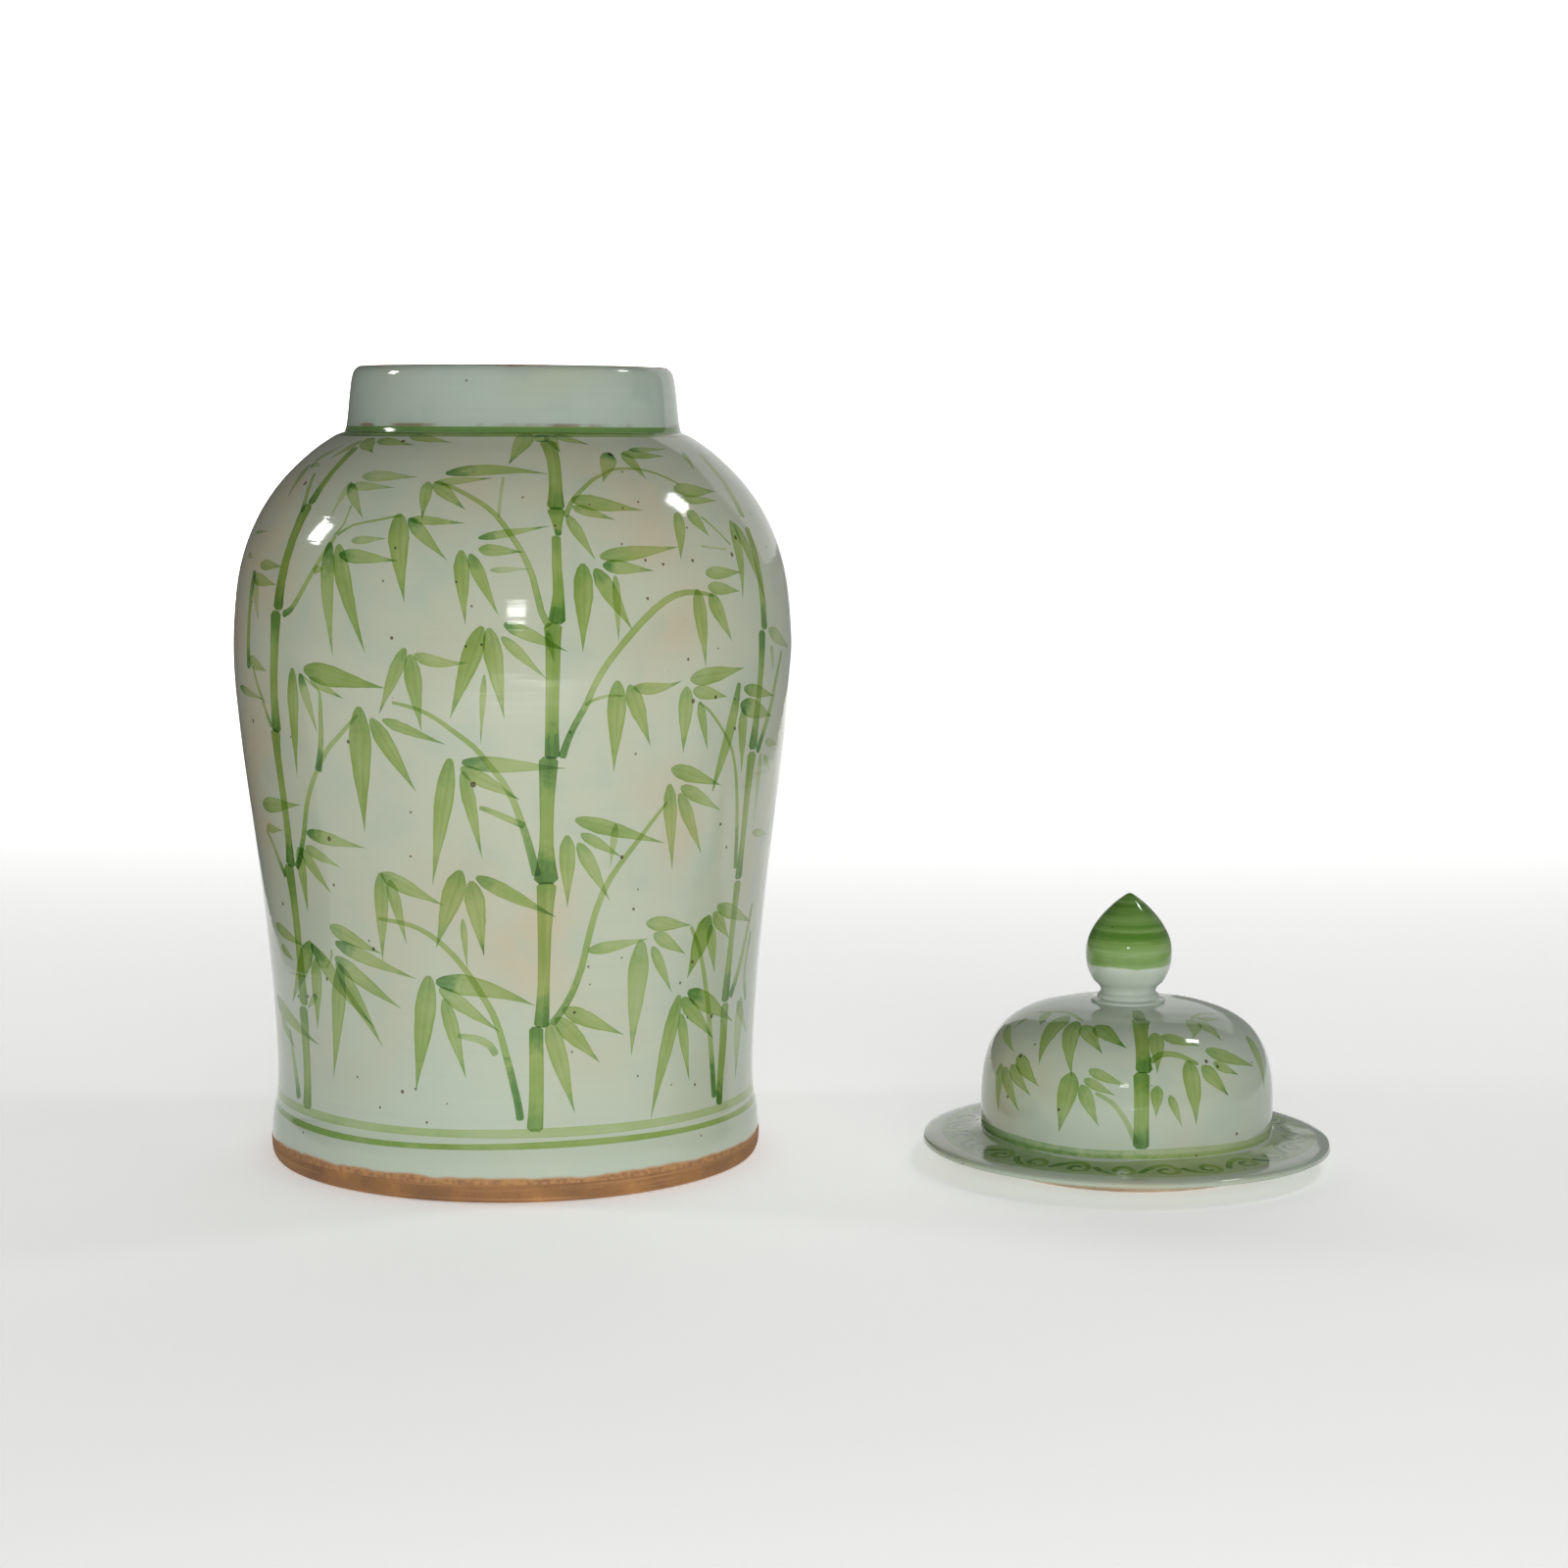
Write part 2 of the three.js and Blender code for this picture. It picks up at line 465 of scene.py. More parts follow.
# ---------- the painting ----------
# leaves: heel angle, heel height, tip angle, tip height, width, bow, (heel ink, tip ink), tone
plain, darkHeel, darkTip, darkEnds, darkAll = (.22, .38), (1, .35), (.25, 1), (.9, .9), (1, 1)
jarLeaves = [
    (-61, 343, -53.4, 355.6, 4, 0, darkTip, 1), (-60.5, 340.5, -54.8, 340, 4, 0, darkAll, 1),
    (-62, 340, -59.3, 321, 5, 0, darkTip, 1.2), (-47, 358, -53.2, 344.3, 5, 0, darkTip, 1.2),
    (-45.5, 359.5, -36.8, 349.3, 8, 0, darkTip, 1.3), (-39.5, 359, -24.3, 355.2, 6, 0, darkTip, 1.2),
    (-28.5, 363, -13, 357.3, 6, 0, plain, 1.2), (-34.4, 334.5, -18.5, 334, 6.5, 0, plain, .7),
    (-37, 330.5, -38.2, 312, 4, 0, plain, .6), (-36.5, 328.5, -23.5, 327.8, 5, 0, plain, .7),
    (-37, 329.5, -29, 311.3, 5.5, 0, darkHeel, 1), (-36, 299, -32.3, 248.3, 8, 0, darkHeel, 1.3),
    (-33.5, 298, -24.7, 250.5, 8.5, 0, plain, 1.2), (-32.5, 294, -18.6, 291.6, 6.5, 0, darkEnds, 1.1),
    (-30.3, 300.5, -22, 302, 4, 0, plain, .7), (-39, 286.5, -36, 287, 4, 0, plain, 1),
    (-59, 287.3, -49.3, 287, 5, 0, plain, 1), (-61.2, 281, -50.5, 278.5, 6, 0, plain, 1),
    (-60.3, 280, -56.7, 261.5, 7, 0, plain, .6), (-69, 302, -61, 303, 2, 0, darkAll, 1),
    (-69, 291, -65, 290, 3, 0, darkAll, 1), (9.5, 366, 3.6, 342.3, 8.5, 0, darkTip, 1.3),
    (15.5, 364, 17.5, 350.5, 6, 0, darkTip, 1.2), (17.5, 364, 27, 356.3, 6, 0, darkTip, 1.2),
    (-15.5, 331, -14.8, 311.5, 6, 0, darkTip, 1.2), (-13.8, 331, -5.6, 316.5, 6.5, 0, darkTip, 1.2),
    (-13.5, 331, 0, 333.8, 4.5, 0, darkTip, 1), (-11.5, 336.5, 13.5, 336.2, 7, 2.5, darkHeel, 1.2),
    (-17.5, 311.5, -5.3, 309.7, 4.5, 0, darkTip, 1.1), (-17.7, 311.5, -8.4, 292.3, 6, 0, darkHeel, 1.2),
    (-20.3, 313.5, -16.6, 273.5, 10, 0, plain, 1.3), (-2.2, 302.8, 12.4, 308.6, 4, 0, darkEnds, 1),
    (-2, 297.5, 6.7, 296.3, 5.5, 0, darkTip, 1.1), (.3, 288, 8, 288.7, 2.8, 0, plain, .6),
    (-5.7, 296.5, -4.4, 264, 7, 0, plain, 1.2), (-3.8, 295, 1.9, 268, 6, 0, (.5, .3), 1.2),
    (3.1, 264.3, 15, 252.2, 6, 0, darkEnds, 1.1), (11.2, 261, 12.4, 247.3, 3, 0, plain, 1),
    (2.6, 258.5, 10.9, 240.3, 5, 0, plain, 1), (-1.3, 262.7, -7.5, 222.5, 9, 0, plain, 1.3),
    (.1, 262, 2.9, 222.8, 8.3, 0, plain, 1.2), (-.8, 242, -1.7, 211, 2.8, 0, darkTip, 1),
    (-16.3, 252.8, -22, 223.5, 6.5, 0, darkTip, 1.1), (-15.2, 250, -13.3, 217, 8, 0, plain, 1.2),
    (-14.3, 250.3, -3.8, 247.5, 5.5, -1.6, plain, 1), (18, 321.8, 34, 316, 8, 0, plain, 1.1),
    (17.8, 318, 26.8, 311.4, 5, 0, darkTip, 1.1), (16.3, 313.5, 21.2, 292.4, 5.5, 0, plain, 1.1),
    (18.5, 290.3, 17.9, 252, 9, 0, plain, 1.3), (21, 288, 28, 261, 8, 0, (.5, .2), 1.3),
    (22.4, 294, 40.8, 298, 7, 0, plain, 1.1), (22.8, 290, 33.5, 287.2, 6.5, 0, darkEnds, 1.1),
    (25, 285, 25.1, 256, 4, 0, plain, 1), (31.7, 350, 26.3, 331.5, 8, 0, darkHeel, 1.2),
    (36, 350, 38.5, 333.3, 6.5, 0, plain, 1.1), (35.8, 349.5, 50, 347.7, 6, 0, plain, 1.1),
    (39, 352.3, 54, 353, 3.5, 0, darkHeel, 1), (45.5, 327, 60, 325.5, 8, 0, plain, 1.1),
    (46, 321.5, 58.5, 320.5, 5, 0, plain, 1), (43.3, 314.5, 40.5, 292, 6.5, 0, plain, 1.1),
    (46.5, 315.5, 50.2, 302.5, 7.5, 0, plain, 1.1), (60, 309.5, 57, 272, 7, 0, plain, 1.1),
    (61, 308, 66.5, 268, 7, 0, plain, 1.1), (43.6, 277.7, 45, 243, 8, 0, plain, 1.2),
    (47, 275.5, 52.6, 254, 8, 0, plain, 1.2), (46.7, 285.3, 58, 285, 6, 0, plain, 1),
    (46.8, 279, 56.4, 276.3, 6, 0, plain, 1), (67, 257, 80, 247, 7, 0, plain, .6),
    (68, 250, 69, 238, 4, 0, plain, .6), (60, 350, 57.6, 338.3, 4, 0, darkTip, 1),
    (-61, 243.5, -53, 239, 6, 0, plain, 1), (-69, 229, -54.6, 225.7, 4, 0, darkAll, 1),
    (-62, 175, -45, 178.7, 7.5, 0, plain, 1.2), (-61.5, 164.5, -53.5, 164.8, 4.5, 0, darkTip, 1),
    (-43.5, 241.3, -44.9, 191.5, 7.6, 0, plain, 1.3), (-41.3, 239.3, -37.3, 213, 5.5, 0, darkHeel, 1.2),
    (-39.8, 241.8, -20.5, 235.3, 10, 0, (.3, .3), 1.6), (-38.5, 238, -30, 229.6, 4.5, 0, darkTip, 1.1),
    (-43.7, 166, -27.4, 161.9, 6.5, 0, darkHeel, 1.2), (-44.8, 159, -34.6, 151.7, 5.5, 0, plain, 1),
    (-46.7, 158, -38, 138.7, 6.5, 0, plain, 1.1), (-47.5, 158, -46.7, 128, 7, 0, darkTip, 1.3),
    (-26.5, 225.7, -27.3, 169.5, 11.5, 0, (.3, .2), 1.6), (-23.8, 221, -15, 189.2, 8, 0, plain, 1.3),
    (-21.2, 221, -8.6, 211, 5, 0, darkTip, 1.2), (24.8, 238.3, 24.6, 198, 9, 0, plain, 1.3),
    (27.3, 236.3, 32.3, 209, 8, 0, plain, 1.2), (28.3, 235.5, 39, 237.6, 5.5, -1.6, darkTip, 1.1),
    (-5.2, 203, 15, 200.1, 7, 0, darkHeel, 1.2), (-5.5, 200.3, 5.8, 186.2, 7, 0, darkTip, 1.2),
    (-5.3, 198.5, -1.9, 159.5, 6.2, 0, plain, 1.2), (-7.8, 204, -12.5, 146.8, 8.5, 0, plain, 1.3),
    (-3, 150.5, 13.4, 132, 7, 0, (.5, .9), 1.3), (-6.5, 153, -12.3, 117.8, 10, 0, plain, 1.3),
    (-4.2, 148.3, -1.9, 114.4, 9, 0, darkTip, 1.3), (-6.3, 131, -5.6, 107.5, 3, 0, plain, 1),
    (-24, 150.3, -10.3, 137.3, 7.5, 0, plain, 1.2), (-24.2, 150.5, -25.3, 109.5, 7.5, 0, plain, 1.2),
    (-22.2, 147.5, -19.1, 118.5, 6, 0, plain, 1.1), (17.2, 176.6, 37.3, 163.3, 7, 0, plain, 1.2),
    (15.4, 169, 15.8, 136.3, 7.5, 0, plain, 1.2), (18.4, 169.8, 27.3, 158.4, 5, 0, plain, 1),
    (17.8, 165.5, 25, 138.4, 6.5, 0, plain, 1.1), (25.6, 173.7, 24.8, 153.5, 3.5, 0, (.4, .4), .7),
    (41.3, 238, 56.5, 241.3, 8, 0, plain, 1.2), (40.2, 234.3, 40.2, 204.5, 8.5, 0, plain, 1.2),
    (42, 232.8, 51.5, 228.7, 6.5, 0, plain, 1.1), (43.7, 227.3, 46.7, 204.8, 5, 0, plain, 1.1),
    (57, 231.7, 70.5, 226, 6, 0, (.6, .6), 1.2), (56.2, 224.3, 70, 216.5, 9, 0, darkHeel, 1.3),
    (57, 222.5, 58.5, 192, 7, 0, plain, 1.2), (66, 200, 67, 165, 4, 0, plain, .6),
    (37.8, 197.7, 51.8, 187.7, 7.5, 0, plain, 1.2), (37.4, 190.3, 39.8, 150.5, 7.3, 0, plain, 1.2),
    (40.5, 188.8, 52.4, 175.8, 6.5, 0, plain, 1.1), (40.2, 185.5, 47.7, 156.3, 7, 0, plain, 1.1),
    (68, 205, 77, 201, 4, 0, plain, .6), (68, 198, 73, 190, 4, 0, plain, .6),
    (67, 162, 78, 158, 4, 0, plain, .6), (-46.7, 113.5, -58, 82, 10, 0, (.6, .5), 1.7),
    (-46.5, 112.5, -28.3, 77.6, 8, 0, darkEnds, 1.4), (-45.5, 106, -47, 72, 8, 0, plain, 1.3),
    (-46.5, 89, -50.5, 81.5, 4, 0, darkAll, 1), (-71, 80, -46.5, 65.2, 8, 0, (.7, .6), 1.4),
    (-67, 72, -58.5, 60.2, 6, 0, darkTip, 1.2), (-64, 117.3, -49.2, 111, 6, 0, plain, 1.1),
    (-61.5, 108, -55, 102.6, 4.5, 0, plain, 1), (-39.3, 123, -25.3, 113, 7.5, 0, plain, 1.2),
    (-38, 115.7, -17.2, 102.6, 7, 0, darkHeel, 1.2), (-38.5, 108.5, -21.2, 88.2, 8, 0, (.5, .15), 1.1),
    (-38.3, 106, -26.5, 69.8, 8, 0, plain, 1.2), (-37.3, 105, -41.8, 51.5, 9, 0, plain, 1.3),
    (-12.4, 101.7, 9, 91.2, 9.5, 2.5, darkHeel, 1.3), (-14.3, 103.7, -18.3, 50.3, 10, 0, plain, 1.3),
    (-11.8, 98.5, 1.3, 79.2, 7, 0, plain, 1.1), (-11, 93.5, -6.4, 57.3, 7, 0, plain, 1.2),
    (15.4, 89, 29.6, 75.2, 7.5, 0, plain, 1.1), (13.8, 84.8, 24, 63.1, 8, 0, plain, 1.2),
    (12.2, 82.5, 18.1, 40.6, 8.5, 0, plain, 1.2), (20.7, 115.8, 35, 119.3, 5.5, 0, plain, 1),
    (34.3, 126.6, 46.6, 123, 7, 0, plain, 1.1), (36.3, 121, 45.4, 109.7, 6.5, 0, plain, 1.1),
    (33, 118, 31.7, 65.3, 10.5, 0, plain, 1), (36, 115, 42, 92.2, 5.5, 0, plain, 1.1),
    (52.3, 125.3, 46.5, 98, 12, 0, (.4, .3), 1.8), (53.8, 126.7, 61, 112.7, 7, 0, plain, 1.2),
    (53, 121, 55.9, 97.7, 7, 0, plain, 1.2), (55, 129.7, 72, 117.5, 7, 0, plain, 1.2),
    (47.3, 91.2, 66, 71.3, 9, 0, darkHeel, 1.3), (44.3, 90, 37, 33.8, 8.2, 0, plain, 1.2),
    (45.3, 88.3, 57, 66.2, 8, 0, darkTip, 1.2), (45.3, 81, 48.7, 48.8, 6, 0, plain, 1.1),
    (70, 81, 69, 42, 10, 0, plain, .6), (68, 80, 76, 62, 6, 0, plain, .6),
]
# stalks and twigs: (heel ink, tip ink), tone, points of angle, height, width; a stalk runs down from its top
jarLines = [
    ((.25, .7), 1.7, [(-46, 352, 5), (-46.5, 336, 4.4), (-47, 319, 5.6)]),
    ((.2, .8), 1.8, [(-47.8, 316, 7.8), (-48.2, 300, 6.2), (-48.7, 280, 6.8), (-48.9, 269, 8)]),
    ((.7, .8), 1.8, [(-49.6, 265, 8.6), (-49.6, 250, 6.9), (-50.4, 228, 6.4), (-50.6, 213, 7.8)]),
    ((.2, .9), 1.7, [(-51.2, 211, 8.2), (-51.3, 200, 6), (-51, 180, 5.7), (-51.2, 160, 6), (-51.6, 150, 8.2)]),
    ((.4, .3), 1.7, [(-52.6, 147, 9), (-52.1, 135, 6.8), (-52, 110, 6), (-52.2, 84, 7.6)]),
    ((.3, .3), 1.7, [(-52.6, 80, 8), (-52.5, 60, 6.8), (-52.6, 45, 6.8), (-52.7, 35, 8)]),
    ((.8, .8), 1.4, [(-61.5, 283, 5), (-61.8, 262, 4.2), (-61.5, 240, 5)]),
    ((1, 1), 1.6, [(13.3, 363, 6.5), (13.4, 359.6, 6.5)]),
    ((.1, .5), 1.6, [(14.8, 357.6, 7.4), (15.2, 345, 6), (14.5, 328, 6), (14, 318.4, 8)]),
    ((.4, 1), 1.6, [(14, 316, 8), (14, 310, 4.6), (14, 304.5, 2.8)]),
    ((.3, .9), 1.6, [(13.5, 303, 4), (13.3, 290, 4.4), (13.4, 278, 5), (13, 266, 7.6)]),
    ((.2, .9), 1.6, [(12.2, 263, 8), (12.2, 255, 6.8), (12.1, 240, 6.3), (12, 220, 6), (12.1, 206, 6.8)]),
    ((.8, .9), 1.6, [(11.4, 203.6, 8.6), (11.2, 185, 6.6), (11.2, 165, 6.4), (11.2, 149.6, 11)]),
    ((.15, .8), 1.6, [(11.3, 146.4, 8.8), (11, 125, 6.2), (10.9, 100, 5.5), (10.5, 82.4, 7)]),
    ((.8, .4), 1.6, [(9.3, 80, 6.4), (9.4, 60, 6.5), (9.3, 45, 6.8), (9, 34.5, 7.4)]),
    ((.1, .2), .9, [(69, 348, 4.5), (67.6, 330, 4.4), (66.5, 312, 4.8)]),
    ((.1, .8), 1.4, [(66, 305, 5), (65.2, 280, 5.2), (65, 259, 6)]),
    ((.8, .8), 1.6, [(63.8, 256, 6.6), (63.2, 240, 5.3), (62.6, 220, 5.4), (62.2, 204, 8)]),
    ((.2, .8), 1.6, [(62, 199.5, 8), (62, 185, 6), (62.4, 160, 5), (62.4, 142, 6.4)]),
    ((.2, .8), 1.6, [(62.3, 138.5, 6.6), (62.2, 130, 5.6), (62, 110, 5.1), (61.5, 83.6, 7)]),
    ((.2, 1), 1.7, [(61.6, 80, 7), (61.5, 60, 6.2), (60.8, 45, 5.8), (60.3, 34.6, 5.4)]),
    ((1, .1), 1.2, [(-46.8, 265.8, 3.4), (-44.5, 268, 3), (-42, 275, 2.8), (-39, 286, 2.6), (-36.5, 296, 2.4),
                    (-35, 302, 2.4)]),
    ((.3, .3), 1, [(-35.3, 303, 1.4), (-33.7, 308, 1.2), (-33.4, 318, .9)]),
    ((.3, .3), 1, [(-34.5, 303, 1.4), (-31, 308, 1.2), (-25.6, 310.5, 1.2), (-21, 312.7, 1.2), (-19.5, 313, .8)]),
    ((.5, .3), 1.1, [(-48.8, 314, 3), (-50, 320, 2.8), (-52, 328, 2.6), (-54, 335, 2)]),
    ((.5, .3), 1.1, [(-52.5, 214, 2.8), (-54, 219, 2.6), (-55.5, 226, 2.4), (-57.5, 233, 2.2), (-59, 240, 1.6)]),
    ((1, .1), 1.3, [(-49, 149, 3.8), (-47.5, 153, 3.6), (-46, 160, 3.4), (-44.5, 168, 3.2), (-43, 178, 3),
                    (-41, 187, 2.8), (-38.7, 195, 2.6), (-35, 206, 2.4), (-32, 212, 2.2), (-27, 222.5, 1.6)]),
    ((1, .1), 1.3, [(-38, 196.5, 4.4), (-37.2, 203, 3.6), (-36.4, 212, 3.2), (-36.1, 222, 2.6), (-36, 232, 1.8),
                    (-37.5, 234.5, 1.3), (-41, 239.5, 1)]),
    ((1, .2), 1.2, [(-54.7, 143.5, 3.2), (-57, 150, 3), (-59.5, 158, 2.6), (-62, 163, 2)]),
    ((1, .2), 1.3, [(-57.2, 37.5, 5), (-58.5, 47, 4.4), (-60, 58, 3.5), (-61, 68, 2.6)]),
    ((.2, .1), 1.2, [(11.4, 264, 3.2), (10, 270, 3), (8.5, 285, 2.8), (6.5, 296, 2.6), (4, 305, 2.5), (1, 314, 2.4),
                     (-3, 321, 2.2), (-9, 328, 2), (-12, 330, 1.6)]),
    ((.1, .1), .6, [(1.8, 313, 1.5), (1.8, 320, 1.5), (2.4, 334, 1.2)]),
    ((.3, .2), 1.1, [(16, 313.5, 2.4), (17.5, 320, 2.2), (20, 326, 2), (24, 333, 1.8), (27, 336, 1.6),
                     (30, 339, 1.6), (35, 339.7, 1.4), (40, 338.5, 1.4), (44, 335, 1.3), (48, 330, 1)]),
    ((.6, .1), 1.2, [(9.2, 152, 4), (8.5, 158, 3.8), (7, 170, 3.4), (5.8, 178, 3.2), (4.5, 186, 3), (2.3, 195, 2.8),
                     (-.5, 203, 2.6), (-3, 210, 2.4), (-7, 217, 2.2), (-10, 222, 2), (-14, 226.5, 1.8),
                     (-19, 229, 1.4)]),
    ((.4, .3), 1.1, [(6.5, 174.5, 3), (4, 177, 3), (0, 181, 2.6), (-2, 182.5, 2)]),
    ((1, .2), 1.3, [(14.1, 205.6, 3.6), (15, 212, 3.2), (16.3, 219, 3), (18.5, 228, 3), (20, 236, 3), (22, 244, 3),
                    (24, 250, 3), (28, 260, 3.2), (33, 270, 3.2), (38, 276, 3), (43, 277, 2.4), (48, 275, 1.6)]),
    ((.2, .2), 1, [(18.5, 228.5, 1.6), (20, 230.5, 1.5), (23, 232.3, 1.4), (26, 232, 1)]),
    ((.5, .1), 1.2, [(13, 83, 3.4), (15.5, 90, 3.3), (17.5, 98, 3.2), (19.2, 108, 3.2), (20.2, 118, 3.1),
                     (21.5, 130, 3), (23, 140, 3), (25, 149, 2.8), (28, 158, 2.6), (31, 166, 2.4), (33.5, 173, 2),
                     (37, 182, 1.4)]),
    ((1, .1), 1.3, [(5.7, 39, 3.6), (5.3, 45, 3.4), (4, 57, 3.3), (2.8, 67, 3.2), (1.3, 79, 3), (-.3, 88, 3),
                    (-2.5, 96, 2.9), (-4.8, 104, 2.8), (-8, 113, 2.6), (-12, 121, 2.5), (-16, 126, 2.3),
                    (-20, 128.3, 2.2), (-25.5, 129.5, 1.6)]),
    ((.2, .2), .8, [(.2, 69, 3.2), (-1, 73, 3.5), (-4, 76, 3.4), (-8, 77, 2)]),
    ((.6, .1), 1.2, [(60.5, 147, 3.2), (59.7, 160, 3), (58.5, 175, 2.6), (56.8, 190, 2.2), (54.5, 203, 1.8),
                     (51, 213, 1.5), (46.5, 223, 1.3), (43.5, 227, 1)]),
    ((1, .1), 1.3, [(64.5, 201.5, 4.4), (66, 208, 4.2), (68, 216, 4), (69.5, 224, 3.6), (71, 234, 3.2),
                    (74, 246, 2.4)]),
    ((1, .1), 1.3, [(58.2, 38.5, 4.2), (57.3, 52, 4), (56, 66, 3.7), (54.7, 80, 3.4), (53, 92, 3), (51.3, 103, 2.6),
                    (49.5, 112, 2.3), (46.6, 122, 1.8)]),
    ((1, .2), 1.3, [(64, 84.5, 4.2), (67, 95, 4), (69, 105, 3.8), (71, 118, 3.4), (72, 126, 2.6)]),
    ((.3, .3), 1.1, [(73.5, 80, 3.5), (71.5, 90, 3.5), (71.5, 100, 3.2), (73, 112, 2.4)]),
    ((.5, .4), 1.2, [(55, 234, 3), (54, 222, 6.2), (52.5, 208, 6.5), (50.5, 195, 4), (49.3, 185.3, .8)]),
    ((.2, .2), 1, [(50, 312, 1.2), (53, 306, 1.2), (56.5, 298, 1)]),
    ((.2, .2), 1, [(-39.7, 112, 1.2), (-39.9, 108, 1.2), (-42, 103, 1)]),
    ((.1, .1), .6, [(47, 298, 1), (50, 297, 1), (54.5, 296, .9)]),
]
# a thinner stalk between the two groves, on each side of the jar, angles counted from its own middle
sideLines = [
    ((.2, .8), 1.5, [(.6, 358, 4.6), (.4, 340, 4), (.2, 322, 5)]),
    ((.6, .8), 1.5, [(.2, 319, 5.4), (0, 295, 4.2), (-.2, 272, 5.2)]),
    ((.3, .9), 1.6, [(-.2, 269, 5.6), (-.4, 240, 4.6), (-.5, 210, 5.6)]),
    ((.7, .8), 1.6, [(-.5, 207, 6), (-.6, 178, 4.8), (-.6, 150, 6)]),
    ((.3, .8), 1.6, [(-.5, 147, 6.2), (-.3, 115, 5), (-.2, 86, 6)]),
    ((.7, .5), 1.6, [(-.2, 83, 6.2), (0, 58, 5.2), (.2, 36, 6)]),
    ((.9, .1), 1.2, [(1, 209, 2.6), (2.4, 218, 2.4), (4.5, 226, 2), (7, 231, 1.4)]),
    ((.9, .1), 1.2, [(-1.4, 149, 2.6), (-2.8, 158, 2.4), (-5, 167, 2), (-8, 172, 1.4)]),
    ((.9, .1), 1.2, [(1, 85, 2.8), (2.6, 95, 2.6), (5, 104, 2.2), (8, 110, 1.4)]),
]
sideLeaves = [
    (1.5, 320, 9.5, 313, 5.5, 0, plain, 1.2), (1.2, 319, 6, 300, 6, 0, darkTip, 1.2),
    (-1.2, 321, -8, 306, 6, 0, plain, 1.2), (-1, 270, -9.5, 262, 5.5, 0, darkTip, 1.2),
    (-1.5, 269, -5, 243, 7, 0, plain, 1.3), (1, 271, 8, 258, 5.5, 0, plain, 1.1),
    (7.4, 231, 12.5, 222, 5, 0, plain, 1.2), (7.2, 230, 6.4, 204, 7, 0, plain, 1.2),
    (6.8, 231, 2.8, 216, 4.5, 0, darkTip, 1.1), (-8.4, 172, -12, 160, 5, 0, darkTip, 1.2),
    (-8, 171, -6.6, 140, 7.5, 0, plain, 1.3), (-7.6, 171.5, -3.4, 156, 5, 0, plain, 1.1),
    (8.2, 110, 13, 98, 5.5, 0, plain, 1.2), (8, 109, 8.4, 76, 8, 0, plain, 1.3),
    (7.6, 109.5, 3.8, 92, 5.5, 0, darkTip, 1.2), (-1.4, 84, -10.5, 70, 6.5, 0, darkHeel, 1.2),
    (-1.2, 83, -6, 52, 7.5, 0, plain, 1.3), (-10.5, 212, -7.5, 196, 5, 0, plain, 1),
    (10.5, 160, 8, 142, 5.5, 0, plain, 1), (-9, 350, -11, 336, 4.5, 0, plain, 1),
]
# iron specks: angle, height, radius
jarSpecks = [
    (-3.3, 193, 1.5), (-37, 164.5, 1.3), (-29.5, 210.3, 1), (-29.5, 358.3, 1.3), (-55, 329, 1.4), (27.3, 158.3, 1),
    (-61.5, 214.5, 1.2), (42, 228, 1.2), (48, 229, 1), (54.7, 213.5, .9), (53, 169, .9), (56, 157.5, .8),
    (30.7, 133.7, .8), (31.8, 349, 1.4), (32, 292, .8), (36, 290, .8), (43.6, 291.3, .9), (31.6, 274.8, .8),
    (56, 293.3, 1.2), (59.3, 301.3, 1.2), (40.5, 247, .8), (-37, 143, .8), (-57.8, 129, 1), (-19, 257.5, .9),
    (-4.3, 254.5, .7), (-1.3, 255.3, .7), (-19.6, 297.5, .7), (-21.4, 282.5, .6), (-21.7, 49.5, 1), (-27.4, 115, 1),
    (-27.7, 41, .7), (-15.7, 36.2, .7), (-54.5, 86, 1), (-50, 87.3, 1), (-42, 97.8, 1), (17.8, 87.3, .8),
    (47.8, 105.3, 1), (44.4, 96.2, .8), (56, 77, 1.2), (50.7, 46.2, .8),
]
lidLeaves = [
    (-24, 83, -6.7, 68.5, 9, 0, darkTip, 1.4), (-31, 82, -17, 65, 8, 0, darkTip, 1.3),
    (-38, 84, -28.5, 53, 9, 0, plain, 1.3), (-49, 88, -44.7, 56, 10, 0, plain, 1.3),
    (-67, 87, -57.7, 76.7, 6, 0, darkTip, 1.2), (-83, 69, -61.5, 59, 5.5, 0, plain, 1.2),
    (-74.5, 78, -74, 70, 3, 0, plain, 1), (-57.5, 57.5, -42.5, 46, 8, 0, plain, 1.3),
    (-60, 52.5, -46.2, 41, 7, 0, plain, 1.2), (-64.5, 50.5, -52, 32.5, 7.5, 0, plain, 1.2),
    (-67.5, 51.5, -65.5, 29, 7, 0, plain, 1.2), (-28.5, 54, -32.5, 26.2, 10.3, 0, plain, 1.4),
    (-24, 49, -16.7, 31, 7, 0, plain, 1.2), (-23, 52, -10.5, 45.5, 4.5, 0, plain, 1.1),
    (-21.5, 56.5, -6, 50, 5, 0, plain, 1.1), (8, 78, 5.8, 56, 7.5, 0, plain, 1.2),
    (11.5, 76, 28.5, 68.3, 6.5, 0, plain, 1.2), (38, 87, 27, 73, 8, 0, plain, .8),
    (41, 84, 42.5, 69.5, 8, 0, plain, .8), (44, 87, 61, 82, 5, 0, plain, 1),
    (19.8, 61, 21.2, 31.5, 9, 0, plain, 1.3), (26, 58, 36.7, 43, 7.5, 0, darkTip, 1.3),
    (30.5, 65.5, 56.5, 53.5, 7, 0, plain, 1.2), (32, 59, 43.8, 51.8, 5, 0, darkTip, 1.1),
    (5.5, 50, 5, 36, 6, 0, plain, 1.2), (10.5, 45.5, 15.3, 31, 4, 0, plain, 1.1),
    (64, 67.5, 62.5, 41, 8, 0, plain, 1.1),
]
